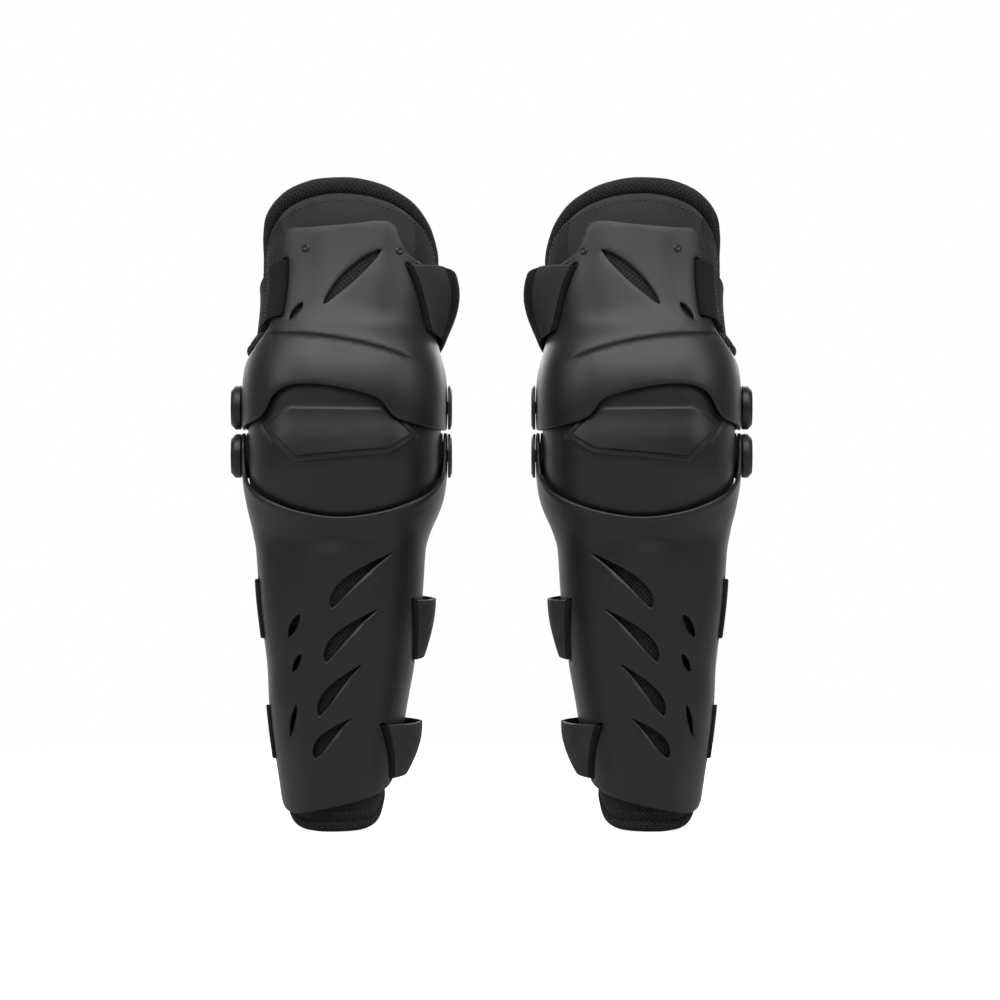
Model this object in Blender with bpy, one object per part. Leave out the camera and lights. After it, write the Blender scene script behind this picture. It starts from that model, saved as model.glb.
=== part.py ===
"""A pair of hinged knee and shin guards for motorcycle riders.

A guard is a chain of three moulded shells: a thigh shell, a knee cup and a shin shell. Rivets at
both sides of the knee join the cup to the thigh shell above it and to the shin shell below it. Foam
pads with rolled edges line the shells, and three elastic straps hold the guard on the leg. Each
strap is sewn round a bar at the outer edge, passes behind the leg, comes out through a slanted slot
near the inner edge and folds back on itself.

Units are metres, +Z is up and the guards face -Y. The origin lies midway between the knees, on the
level midway between the two axes of a knee. A guard is drawn as the right one, with the outer side
of the leg at -X, and the left one is its mirror image. On a shell, a place is given by its turn
round the leg from straight ahead, in degrees, positive towards the inner side, and by its height.
"""
import math

import bmesh
import bpy
import numpy as np
from mathutils import Vector
from mathutils.geometry import delaunay_2d_cdt

MM = 0.001
DEG = math.pi / 180

# Knee: the cup is a barrel round each of two axes
GUARD_SPACING = 232 * MM
PIVOT_SPACING = 38 * MM
CUP_REACH = 86 * MM
CUP_HALF_WIDTH = 76 * MM
CUP_WALL = 3 * MM
CUP_TOP_ANGLE = 50 * DEG
CUP_FOOT_ANGLE = 51 * DEG
CUP_EAR_RADIUS = 20 * MM
PANEL_RAISE = 1.6 * MM
PANEL_BEVEL = 4 * MM
KNEE_BROW = 3 * MM
SQUARENESS = 2.5

# Shells
SHELL_WALL = 3.2 * MM
SLIDE_GAP = 2 * MM
EAR_GAP = 1.2 * MM
THIGH_LEAN = 18 * DEG
SHIN_RIDGE = 2.5 * MM
THIGH_LEDGE = 1.2 * MM
THIGH_LEDGE_FADE = 34 * MM

# Hinge hardware
RIVET_RADIUS = 5 * MM
RIVET_CLEARANCE = 0.4 * MM
RIVET_HEAD_RADIUS = 9 * MM
RIVET_HEAD_HEIGHT = 1.6 * MM
RIVET_SEAT = 0.5 * MM
WASHER_RADIUS = 10 * MM
WASHER_CLEARANCE = 0.5 * MM
CAP_MARGIN = 0.9 * MM
CAP_SEAT = 0.3 * MM
CAP_RECESS_CLEARANCE = 0.5 * MM
OUTER_CAP_HEIGHT = 8 * MM
INNER_CAP_HEIGHT = 3.2 * MM

# Pads
PAD_THICKNESS = 9 * MM
PAD_EDGE_SHARE = 0.6
PAD_EDGE_BAND = 14 * MM
PAD_GAP = 1.5 * MM
PAD_DROP_TURN = 15 * DEG
PAD_DROP_FADE = 10 * DEG
STRAP_ROOM_FOOT = -273 * MM
STRAP_ROOM_FADE = 16 * MM
PAD_CUP_CLEARANCE = 3 * MM
THIGH_ROLL_RADIUS = 7.5 * MM
SHIN_ROLL_RADIUS = 4.5 * MM
ROLL_GAP = 0.3 * MM
THIGH_PAD_FOOT = 36 * MM
THIGH_PAD_SPRING = 118 * MM
THIGH_PAD_RISE = 42 * MM
SHIN_PAD_HEAD = -80 * MM
SHIN_PAD_SPRING = -262 * MM
SHIN_PAD_DROP = 46.5 * MM

# Straps
STRAP_THICKNESS = 1.8 * MM
STRAP_GAP = 0.8 * MM
STRAP_END_THICKNESS = 2.6 * MM
STRAP_END_START = 0.5
STRAP_END_TURN = 20
SLOT_CLEARANCE = 1 * MM
SLOT_END = 1.5 * MM
THIGH_STRAP_WIDTH = 46 * MM
THIGH_STRAP_BACK = 66 * MM
THIGH_STRAP_SLACK = (17 * MM, 15 * MM, 2 * MM)
UPPER_CALF_STRAP_WIDTH = 46 * MM
UPPER_CALF_STRAP_BACK = 62 * MM
UPPER_CALF_STRAP_SLACK = (8 * MM, 8 * MM, 4 * MM)
LOWER_CALF_STRAP_WIDTH = 42 * MM
LOWER_CALF_STRAP_BACK = 50 * MM
LOWER_CALF_STRAP_SLACK = (11 * MM, 12 * MM, 6 * MM)

# Mesh steps: the shells are drawn unrolled, at this reach from the leg axis
UNROLL = 70 * MM
SHELL_STEP = 14 * MM
PAD_STEP = 22 * MM
EDGE_STEP = 9 * MM
PAD_EDGE_STEP = 13 * MM
STRAP_STEP = 9
ROUND_SIDES = 12
ROLL_SIDES = 6

# Worked out from the sizes above
UPPER_PIVOT = PIVOT_SPACING / 2
LOWER_PIVOT = -PIVOT_SPACING / 2
SHELL_REACH = CUP_REACH + SLIDE_GAP + SHELL_WALL
SHELL_HALF_WIDTH = CUP_HALF_WIDTH + SLIDE_GAP + SHELL_WALL
EAR_RADIUS = (PIVOT_SPACING - EAR_GAP) / 2
CAP_RADIUS = EAR_RADIUS - CAP_MARGIN
PAD_FACE_DEPTH = SHELL_WALL + PAD_GAP
PAD_EDGE_DEPTH = SHELL_WALL + 2 * STRAP_GAP + STRAP_THICKNESS + PAD_GAP
STRAP_INNER_DEPTH = SHELL_WALL + STRAP_GAP + STRAP_THICKNESS / 2
STRAP_FOLD = SHELL_WALL + 2 * STRAP_GAP + STRAP_THICKNESS
STRAP_STACK = STRAP_THICKNESS + STRAP_GAP


def curve_through(stations):
    """A smooth function of height through (height, value) stations, both in millimetres."""
    heights, values = np.array(sorted(stations), float).T * MM
    rises = np.diff(values) / np.diff(heights)
    products = rises[:-1] * rises[1:]
    inner = np.where(products > 0, 2 * products / np.where(products > 0, rises[:-1] + rises[1:], 1), 0)
    slopes = np.concatenate([rises[:1], inner, rises[-1:]])

    def value(height):
        height = np.clip(height, heights[0], heights[-1])
        i = np.clip(np.searchsorted(heights, height) - 1, 0, len(heights) - 2)
        span = heights[i + 1] - heights[i]
        t = (height - heights[i]) / span
        ends = values[i] * (1 + 2 * t) * (1 - t) ** 2 + values[i + 1] * t * t * (3 - 2 * t)
        return ends + span * (slopes[i] * t * (1 - t) ** 2 - slopes[i + 1] * t * t * (1 - t))

    return value


def step(value, low, high):
    """A smooth step from 0 at low to 1 at high."""
    t = np.clip((value - low) / (high - low), 0, 1)
    return t * t * (3 - 2 * t)


# Half width, depth and sideways shift of the thigh shell, by height over the upper axis
thigh_half_width = curve_through([(-40, 58), (0, 62), (35, 72), (60, 75), (90, 76), (120, 78), (165, 78)])
thigh_depth = curve_through([(-40, 60), (0, 70), (30, 83.5), (90, 84), (130, 85.5), (165, 86)])
thigh_shift = curve_through([(-40, 0), (40, 0), (90, 4), (120, 4), (165, -5)])

# The same for the shin shell, by height over the origin
shin_half_width = curve_through([(-313, 39), (-300, 41.5), (-280, 44.5), (-250, 49.5), (-215, 54.5),
                                 (-180, 58.5), (-130, 64.5), (-93, 67), (-79, 69), (-54, 66), (-19, 60)])
shin_depth = curve_through([(-313, 56), (-259, 62), (-189, 66), (-129, 68.5), (-79, 70), (-64, 68),
                            (-19, 58)])
shin_shift = curve_through([(-313, -7), (-280, -6.5), (-215, -5), (-180, -3), (-93, -3), (-50, 0),
                            (-19, 0)])


def oval(turn, half_width, depth, power=2.2):
    """Reach of an oval section."""
    across = np.abs(np.sin(turn)) / half_width
    ahead = np.abs(np.cos(turn)) / depth
    return (across ** power + ahead ** power) ** (-1 / power)


def barrel(turn, rise, reach, half_width):
    """Reach of a barrel round a crosswise axis, at a rise above or below that axis."""
    across = np.abs(np.sin(turn))
    ahead = np.cos(turn)
    low = np.zeros(np.broadcast(turn, rise).shape)
    high = low + 2 * max(reach, half_width)
    for _ in range(45):
        middle = (low + high) / 2
        radius = np.hypot(middle * ahead, rise)
        filled = (middle * across / half_width) ** SQUARENESS + (radius / reach) ** SQUARENESS
        low = np.where(filled < 1, middle, low)
        high = np.where(filled < 1, high, middle)
    return (low + high) / 2


def merged(one, other, sharpness=30):
    """The larger of two reaches, with a small fillet where they cross."""
    return other * (1 + (one / other) ** sharpness) ** (1 / sharpness)


def cup_reach(turn, height):
    rise = np.maximum(np.abs(height) - UPPER_PIVOT, 0)
    return barrel(turn, rise, CUP_REACH, CUP_HALF_WIDTH)


def thigh_reach(turn, height):
    knee = barrel(turn, height, SHELL_REACH, SHELL_HALF_WIDTH)
    return merged(knee, oval(turn, thigh_half_width(height), thigh_depth(height)))


def shin_reach(turn, height):
    knee = barrel(turn, np.minimum(height - LOWER_PIVOT, 0), SHELL_REACH, SHELL_HALF_WIDTH)
    leg = oval(turn, shin_half_width(height), shin_depth(height))
    ridge_line = (-13 + 30 * (height + 124 * MM)) * DEG
    along = step(-height, 84 * MM, 115 * MM) * step(height, -300 * MM, -270 * MM)
    leg = leg + SHIN_RIDGE * along * np.exp(-((turn - ridge_line) / (13 * DEG)) ** 2)
    return merged(knee, leg)


class Skin:
    """An outer surface round a leg axis, given by its reach at a turn (in radians) and a height."""

    def __init__(self, reach, shift=lambda height: 0 * height):
        self.reach = reach
        self.shift = shift

    def surface(self, turn, height):
        reach = self.reach(turn, height)
        return np.stack([self.shift(height) + reach * np.sin(turn), -reach * np.cos(turn), height], -1)

    def outward(self, turn, height, level):
        near = 0.1 * MM
        around = self.surface(turn + near / UNROLL, height) - self.surface(turn - near / UNROLL, height)
        upward = self.surface(turn, height + near) - self.surface(turn, height - near)
        if level:
            upward = upward * 0 + (0, 0, 1)
        normal = np.cross(around, upward)
        return normal / np.linalg.norm(normal, axis=-1, keepdims=True)

    def point(self, turn, height, depth=0.0, level=False):
        """Points at a depth under the skin; a level depth is measured without rising or falling."""
        turn, height = np.broadcast_arrays(np.asarray(turn, float), np.asarray(height, float))
        sunk = np.broadcast_to(depth, turn.shape)[..., None]
        return self.surface(turn, height) - sunk * self.outward(turn, height, level)

    def side_turn(self, back, height):
        """The turn, in degrees, at which the side of the skin is this far behind the leg axis."""
        low, high = 30 * DEG, 150 * DEG
        for _ in range(40):
            middle = (low + high) / 2
            if -self.reach(np.float64(middle), height) * math.cos(middle) < back:
                low = middle
            else:
                high = middle
        return low / DEG


CUP = Skin(cup_reach)
THIGH = Skin(thigh_reach, thigh_shift)
SHIN = Skin(shin_reach, shin_shift)


def unrolled(places):
    """Places of (degrees, millimetres) on the unrolled plane, in metres."""
    return np.array([(turn * DEG * UNROLL, height * MM) for turn, height in places])


def ear(skin, pivot, radius, angles, side):
    """Places on an arc round a pivot, by angle from straight up towards the front, in degrees."""
    places = []
    for angle in angles:
        height = pivot + radius * math.cos(angle * DEG)
        turn = skin.side_turn(-radius * math.sin(angle * DEG), height)
        places.append((side * turn, height / MM))
    return places


def softened(loop, rounds=2):
    """A closed outline with its corners cut round."""
    for _ in range(rounds):
        following = np.roll(loop, -1, 0)
        loop = np.stack([0.75 * loop + 0.25 * following, 0.25 * loop + 0.75 * following], 1).reshape(-1, 2)
    return loop


def spread(loop, spacing):
    """A closed outline with its points spread evenly."""
    closed = np.vstack([loop, loop[:1]])
    along = np.concatenate([[0], np.cumsum(np.linalg.norm(np.diff(closed, axis=0), axis=1))])
    stops = np.linspace(0, along[-1], round(along[-1] / spacing), endpoint=False)
    return np.stack([np.interp(stops, along, closed[:, k]) for k in (0, 1)], -1)


def inset(path, distance, stretch=1.0):
    """An open path moved to its left by a true distance, on a plane that is stretched sideways."""
    run = np.gradient(path, axis=0)
    run[:, 0] /= stretch
    run /= np.linalg.norm(run, axis=1, keepdims=True)
    return path + distance * np.stack([-run[:, 1] * stretch, run[:, 0]], -1)


def roll_depth(height, radius):
    """Depth of the middle line of a rolled edge."""
    return PAD_FACE_DEPTH + strap_room(height) + radius


def roll_stretch(skin, path, radius):
    """How far the unrolled plane stretches the middle line of a rolled edge."""
    return UNROLL / (skin.reach(path[:, 0] / UNROLL, path[:, 1]) - roll_depth(path[:, 1], radius))


def leaf(start, bend, end, width, count=6, blunt=1.0):
    """A vent outline: a blade from start to end, pulled towards bend; it can be blunt at its end."""
    start, bend, end = unrolled([start, bend, end])
    t = np.linspace(0, 1, count)[:, None]
    spine = (1 - t) ** 2 * start + 2 * t * (1 - t) * bend + t * t * end
    swell = width / 2 * np.sin(math.pi * t[:, 0] ** blunt) ** 0.7
    return np.vstack([offset(spine, swell), offset(spine, -swell)[-2:0:-1]])


def offset(path, distances):
    """An open path moved to its left by a distance at each point."""
    return path + (inset(path, 1) - path) * distances[:, None]


def round_hole(skin, pivot, side):
    """A rivet hole in the side of a shell."""
    angles = np.arange(0, 360, 360 / 16)
    return unrolled(ear(skin, pivot, RIVET_RADIUS + RIVET_CLEARANCE, angles, side))


def inside(loop, points):
    """Which points lie inside a closed loop."""
    x, y = points.T
    found = np.zeros(len(points), bool)
    for (x0, y0), (x1, y1) in zip(loop, np.roll(loop, -1, 0)):
        if y0 != y1:
            found ^= ((y0 > y) != (y1 > y)) & (x < x0 + (y - y0) * (x1 - x0) / (y1 - y0))
    return found


def margin(loop, points):
    """Distance of points from a closed loop."""
    edge = np.roll(loop, -1, 0) - loop
    reach = points[:, None] - loop
    along = np.clip((reach * edge).sum(-1) / (edge * edge).sum(-1), 0, 1)
    return np.linalg.norm(reach - along[..., None] * edge, axis=-1).min(1)


def triangulated(rim, holes, creases, spacing):
    """Points and triangles that fill an outline, round its holes and along its creases."""
    loops = [rim, *holes, *creases]
    low, high = rim.min(0), rim.max(0)
    grid = []
    for row, y in enumerate(np.arange(low[1] + spacing / 2, high[1], spacing * 0.87)):
        grid += [(x + row % 2 * spacing / 2, y) for x in np.arange(low[0], high[0], spacing)]
    grid = np.array(grid)
    keep = inside(rim, grid)
    for hole in holes:
        keep &= ~inside(hole, grid)
    for loop in loops:
        keep &= margin(loop, grid) > 0.55 * spacing
    points = np.vstack([*loops, grid[keep]])
    edges = []
    for loop in loops:
        first = edges[-1][0] + 1 if edges else 0
        edges += [(first + i, first + (i + 1) % len(loop)) for i in range(len(loop))]
    found, _, faces, *_ = delaunay_2d_cdt([Vector(p / MM) for p in points], edges, [], 0, 1e-6)
    found = np.array([v[:] for v in found]) * MM
    faces = np.array([f[:] for f in faces])
    middles = found[faces].mean(1)
    keep = inside(rim, middles)
    for hole in holes:
        keep &= ~inside(hole, middles)
    used, faces = np.unique(faces[keep], return_inverse=True)
    return found[used], faces.reshape(-1, 3)


def wall(skin, rim, holes, outer, inner, spacing, creases=(), level=False):
    """A closed wall under a skin, between an outer and an inner depth."""
    plan, faces = triangulated(rim, holes, creases, spacing)
    turn, height = plan[:, 0] / UNROLL, plan[:, 1]
    edge = margin(rim, plan)
    front = skin.point(turn, height, outer(turn, height, edge), level)
    back = skin.point(turn, height, inner(turn, height, edge), level)
    count = len(plan)
    runs = {(int(f[k]), int(f[k - 2])) for f in faces for k in range(3)}
    sides = [(b, a, a + count, b + count) for a, b in sorted(runs) if (b, a) not in runs]
    lining = [tuple(int(v) + count for v in reversed(f)) for f in faces]
    return np.vstack([front, back]), [tuple(int(v) for v in f) for f in faces] + lining + sides


def loft(rings):
    """A closed body through rings of points, with flat ends."""
    rows, sides, _ = rings.shape
    faces = [tuple(range(sides)), tuple(range(rows * sides - 1, rows * sides - sides - 1, -1))]
    for row in range(rows - 1):
        for side in range(sides):
            a, b = row * sides + side, row * sides + (side + 1) % sides
            faces.append((b, a, a + sides, b + sides))
    return rings.reshape(-1, 3), faces


def turned(profile, closed=False):
    """A body turned round the X axis from (x, radius) points."""
    shape = bmesh.new()
    points = [shape.verts.new((x, 0, radius)) for x, radius in profile]
    pairs = list(zip(points, points[1:])) + ([(points[-1], points[0])] if closed else [])
    lines = [shape.edges.new(pair) for pair in pairs]
    bmesh.ops.spin(shape, geom=points + lines, cent=(0, 0, 0), axis=(1, 0, 0), angle=2 * math.pi,
                   steps=ROUND_SIDES, use_merge=True)
    bmesh.ops.remove_doubles(shape, verts=shape.verts, dist=0.01 * MM)
    shape.verts.index_update()
    mesh = np.array([v.co[:] for v in shape.verts]), [tuple(v.index for v in f.verts) for f in shape.faces]
    shape.free()
    return mesh


def material(name, colour, roughness, metallic=0.0):
    """A Principled material with one grey level."""
    made = bpy.data.materials.new(name)
    made.use_nodes = True
    shader = made.node_tree.nodes["Principled BSDF"]
    shader.inputs["Base Color"].default_value = (colour, colour, colour, 1)
    shader.inputs["Roughness"].default_value = roughness
    shader.inputs["Metallic"].default_value = metallic
    return made


class Guard:
    """One guard: its empties, and what adds a named solid to it."""

    def __init__(self, name, mirror, materials):
        self.name = name
        self.mirror = mirror
        self.materials = materials
        base = self.empty("guard", None, (mirror * -GUARD_SPACING / 2, 0, 0))
        lower = self.empty("lower_hinge", base, (0, 0, LOWER_PIVOT))
        upper = self.empty("upper_hinge", lower, (0, 0, PIVOT_SPACING))
        upper.rotation_euler.x = -THIGH_LEAN
        self.parents = {"shin": base, "knee": lower, "thigh": upper}
        self.origins = {"shin": (0, 0, 0), "knee": (0, 0, LOWER_PIVOT), "thigh": (0, 0, 0)}

    def empty(self, name, parent, place):
        made = bpy.data.objects.new(f"{self.name}_{name}", None)
        made.parent = parent
        made.location = place
        bpy.context.scene.collection.objects.link(made)
        return made

    def add(self, name, mesh, body, finish, smooth=30):
        """A solid drawn for the right guard, mirrored for the left one."""
        points, faces = mesh
        places = (points - self.origins[body]) * (self.mirror, 1, 1)
        data = bpy.data.meshes.new(f"{self.name}_{name}")
        data.from_pydata(places.tolist(), [], faces)
        shape = bmesh.new()
        shape.from_mesh(data)
        bmesh.ops.recalc_face_normals(shape, faces=shape.faces)
        shape.to_mesh(data)
        shape.free()
        data.shade_smooth()
        data.set_sharp_from_angle(angle=smooth * DEG)
        data.materials.append(self.materials[finish])
        made = bpy.data.objects.new(data.name, data)
        made.parent = self.parents[body]
        bpy.context.scene.collection.objects.link(made)


def even(depth):
    """The same depth all over a wall."""
    return lambda turn, height, edge: depth + 0 * turn


def strap_bars():
    """Straps by name, with the turns of their bars and edges, and their heights over the leg axis."""
    return {
        "thigh": dict(skin=THIGH, outer=(-38, -38), inner=(36, 57), outer_edge=45, inner_edge=(51, 70),
                      centres=(76 * MM, 71 * MM), width=THIGH_STRAP_WIDTH, back=THIGH_STRAP_BACK,
                      slack=THIGH_STRAP_SLACK, overlap=75),
        "upper_calf": dict(skin=SHIN, outer=(-77, -77), inner=(62, 76), outer_edge=92, inner_edge=(92, 92),
                           centres=(-139 * MM, -156 * MM), width=UPPER_CALF_STRAP_WIDTH,
                           back=UPPER_CALF_STRAP_BACK, slack=UPPER_CALF_STRAP_SLACK, overlap=62),
        "lower_calf": dict(skin=SHIN, outer=(-77, -77), inner=(40, 64), outer_edge=92, inner_edge=(92, 92),
                           centres=(-236 * MM, -251 * MM), width=LOWER_CALF_STRAP_WIDTH,
                           back=LOWER_CALF_STRAP_BACK, slack=LOWER_CALF_STRAP_SLACK, overlap=62),
    }


def slot(strap, side):
    """The slot beside a strap's bar, on the outer or the inner side."""
    skin = strap["skin"]
    centre = strap["centres"][0 if side == "outer" else 1]
    reach_out = strap["width"] / 2 + SLOT_END
    opening = STRAP_FOLD / 2 + STRAP_THICKNESS / 2 + SLOT_CLEARANCE
    upper, lower = strap[side]
    slope = (upper - lower) / strap["width"]
    loop = []
    for sign in (1, -1):
        height = centre + sign * reach_out
        bar = ((upper + lower) / 2 + slope * sign * reach_out) * DEG
        ahead = bar - math.copysign(opening / skin.reach(np.float64(bar), height), bar)
        loop += [(bar * UNROLL, height), (ahead * UNROLL, height)][::sign]
    loop = np.array(loop)
    halves = (loop + np.roll(loop, -1, 0)) / 2
    return np.stack([loop, halves], 1).reshape(-1, 2)


def strap_line(strap, side):
    """Stops of one line of a strap, as turns and lifts, from its upper (+1) to its lower (-1) edge."""
    def between(pair):
        return pair[0] + (pair[1] - pair[0]) * (1 - side) / 2

    outer_bar, inner_bar = between(strap["outer"]), between(strap["inner"]) - 360
    outer_edge, inner_edge = -strap["outer_edge"], between(strap["inner_edge"]) - 360
    settling = STRAP_STACK + 0.25 * (STRAP_FOLD - STRAP_STACK)
    stops = [(outer_edge - 15, STRAP_STACK), (outer_edge - 9, settling), (outer_edge - 2, STRAP_FOLD),
             ((outer_edge + outer_bar) / 2, STRAP_FOLD)]
    stops += fold(strap, outer_bar, side, 1)
    stops += [(turn, 0) for turn in np.linspace(outer_bar, inner_bar, 24)[1:-1]]
    stops += fold(strap, inner_bar, side, -1)
    upper, middle, lower = strap["slack"]
    slack = middle + (upper - lower) / 2 * side + ((upper + lower) / 2 - middle) * side ** 2
    longest = strap["inner_edge"][0] - strap["inner"][0]
    for share in np.linspace(0, 1, 1 + math.ceil(longest / STRAP_STEP))[1:]:
        turn = inner_bar + (inner_edge + 2 - inner_bar) * share
        stops.append((turn, STRAP_FOLD + slack * math.sin(share * math.pi / 2)))
    for turn, share in ((12, 0.75), (24, 0.3), (36, 0.05)):
        stops.append((inner_edge + turn, STRAP_STACK + (STRAP_FOLD - STRAP_STACK + slack) * share))
    stops += [(inner_edge + turn, STRAP_STACK) for turn in np.linspace(46, strap["overlap"], 3)]
    return np.array(stops)


def fold(strap, bar, side, ahead):
    """Stops of a strap's half turn round its outer bar, going in (+1), or its inner bar, coming out (-1)."""
    height = strap["centres"][0 if ahead > 0 else 1] + side * strap["width"] / 2
    radius = STRAP_FOLD / 2
    swing = radius / strap["skin"].reach(np.float64(bar * DEG), height) / DEG
    return [(bar + ahead * swing * math.sin(a), radius * (1 + ahead * math.cos(a)))
            for a in np.linspace(0, math.pi, 5)]


def strap_points(strap, stops, side, lift):
    """Points of one line of a strap, lifted off the leg."""
    turn = stops[:, 0] * DEG
    first, last = strap["centres"]
    start, stop = strap["outer"][0], max(strap["inner"]) - 360
    share = np.clip((stops[:, 0] - start) / (stop - start), 0, 1)
    height = first + (last - first) * share + side * strap["width"] / 2
    wrapped = (turn + math.pi) % (2 * math.pi) - math.pi

    def loop(angle):
        front = np.clip(angle, -math.pi / 2, math.pi / 2)
        ahead = strap["skin"].point(front, height, STRAP_INNER_DEPTH, True)
        centre = strap["skin"].shift(height)
        reach = oval(angle, np.abs(ahead[:, 0] - centre), strap["back"])
        behind = np.stack([centre + reach * np.sin(angle), -reach * np.cos(angle), height], -1)
        return np.where((np.abs(angle) > math.pi / 2)[:, None], behind, ahead)

    near = 0.2 * DEG
    run = loop(wrapped + near) - loop(wrapped - near)
    outward = np.stack([run[:, 1], -run[:, 0], 0 * height], -1)
    outward /= np.linalg.norm(outward, axis=1, keepdims=True)
    return loop(wrapped) + (stops[:, 1] + lift)[:, None] * outward


def band(strap, thickness, lines, lift=0.0):
    """A ribbon along a strap's path, through its upper edge, middle and lower edge."""
    outer, inner = [], []
    for side, stops in lines:
        path = strap_points(strap, stops, side, lift)
        run = np.gradient(path, axis=0)
        across = np.stack([run[:, 1], -run[:, 0], 0 * run[:, 0]], -1)
        across *= thickness / 2 / np.linalg.norm(across, axis=1, keepdims=True)
        outer.append(path + across)
        inner.append(path - across)
    return loft(np.stack(outer + inner[::-1], 1))


def add_strap(guard, name, strap, body):
    """A strap and the pull tab at its free end."""
    lines = [(side, strap_line(strap, side)) for side in (1, 0, -1)]
    guard.add(f"{name}_strap", band(strap, STRAP_THICKNESS, lines), body, "webbing")
    turns = np.linspace(STRAP_END_START, STRAP_END_TURN, 4)
    ends = [(side, np.array([(stops[-1, 0] + turn, STRAP_STACK) for turn in turns])) for side, stops in lines]
    raised = (STRAP_END_THICKNESS - STRAP_THICKNESS) / 2
    guard.add(f"{name}_strap_end", band(strap, STRAP_END_THICKNESS, ends, raised), body, "rubber")


def thigh_shell(straps):
    """Skirt over the knee, ears at the upper axis, and a plate up the thigh with a leaf vent."""
    skirt = [(-66, -26), (-50, -29), (-43, -26), (-37, -16), (-31, -11), (-22, -9.5), (-8, -12), (8, -17),
             (20, -22), (24, -29), (28, -35), (40, -36.5), (66, -31)]
    inner = [(73, 29), (70, 46), (57, 74), (50, 98), (34, 101), (29, 114), (26, 125), (20, 129)]
    outer = [(2, 123), (-22, 122), (-33, 126), (-38, 122), (-40, 110), (-44, 102), (-45, 94), (-45, 58),
             (-45, 45), (-56, 32), (-73, 29)]
    round_ear = range(190, 331, 20)
    places = skirt + ear(THIGH, 0, EAR_RADIUS, round_ear, 1) + inner
    places += outer + ear(THIGH, 0, EAR_RADIUS, reversed(round_ear), -1)
    rim = spread(softened(unrolled(places)), EDGE_STEP)
    holes = [round_hole(THIGH, 0, 1), round_hole(THIGH, 0, -1), slot(straps["thigh"], "outer"),
             slot(straps["thigh"], "inner"), leaf((-11, 57), (-3, 86), (18, 103), 10 * MM),
             leaf((-30, 47), (-26, 54), (-23, 60), 5 * MM, 5)]
    line = unrolled([(-46, 41), (-38, 38), (-12, 30), (8, 24), (24, 18), (40, 12)])
    crease = spread(np.vstack([line, inset(line, -SHELL_WALL / 2)[::-1]]), EDGE_STEP)

    def raised(turn, height, edge):
        """A step across the plate: it is high along its upper side and fades out above that."""
        above = height - np.interp(turn * UNROLL, *line.T)
        ends = step(np.abs(turn), 50 * DEG, 35 * DEG)
        return -THIGH_LEDGE * ends * step(above, -SHELL_WALL / 2, 0) * (1 - step(above, 0, THIGH_LEDGE_FADE))

    return wall(THIGH, rim, holes, raised, even(SHELL_WALL), SHELL_STEP, [crease])


def cup_rim(share, widest):
    """Outline of the knee cup, or of its pad at a share of the cup's height."""
    top = CUP_REACH * math.sin(CUP_TOP_ANGLE) * share / MM
    foot = CUP_REACH * math.sin(CUP_FOOT_ANGLE) * share / MM
    up, down = UPPER_PIVOT / MM, LOWER_PIVOT / MM
    crown = ((0, 1), (0.46, 0.88), (0.77, 0.68), (1, 0.5))
    base = ((1, 0.49), (0.7, 0.71), (0.4, 0.9), (0, 1))
    return ([(turn * widest, up + top * part) for turn, part in crown],
            [(turn * widest, down - foot * part) for turn, part in base])


def knee_cup():
    """The barrel between the shells, with a brow across it and a raised six-sided panel above the brow."""
    crown, base = cup_rim(1, 65)
    upper = ear(CUP, UPPER_PIVOT, CUP_EAR_RADIUS, range(15, -91, -21), 1)
    lower = ear(CUP, LOWER_PIVOT, CUP_EAR_RADIUS, range(-90, -196, -21), 1)
    half = crown + upper + lower + base
    places = half + [(-turn, height) for turn, height in half[-2:0:-1]]
    rim = spread(softened(unrolled(places), 1), EDGE_STEP)
    holes = [round_hole(CUP, pivot, side) for pivot in (UPPER_PIVOT, LOWER_PIVOT) for side in (1, -1)]
    panel = unrolled([(-42, 4), (-27, 18), (22, 17), (37, -3), (23, -14), (-22, -20)])
    creases = [spread(loop, SHELL_STEP) for loop in (panel, inset_loop(panel, PANEL_BEVEL))]

    def raised(turn, height, edge):
        plan = np.stack([turn * UNROLL, height], -1)
        brow = step(height, UPPER_PIVOT, 0.8 * LOWER_PIVOT) * step(height, 3 * LOWER_PIVOT, LOWER_PIVOT)
        brow = KNEE_BROW * brow * (1 - step(np.abs(turn), 28 * DEG, 52 * DEG))
        face = PANEL_RAISE * step(margin(panel, plan), 0, PANEL_BEVEL)
        return -brow - np.where(inside(panel, plan), face, 0)

    return wall(CUP, rim, holes, raised, even(CUP_WALL), SHELL_STEP, creases)


def inset_loop(loop, distance):
    """A closed clockwise outline moved inwards."""
    before, after = loop - np.roll(loop, 1, 0), np.roll(loop, -1, 0) - loop
    normals = []
    for run in (before, after):
        run = run / np.linalg.norm(run, axis=1, keepdims=True)
        normals.append(np.stack([run[:, 1], -run[:, 0]], -1))
    middle = normals[0] + normals[1]
    return loop + distance * 2 * middle / (middle ** 2).sum(1, keepdims=True)


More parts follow.
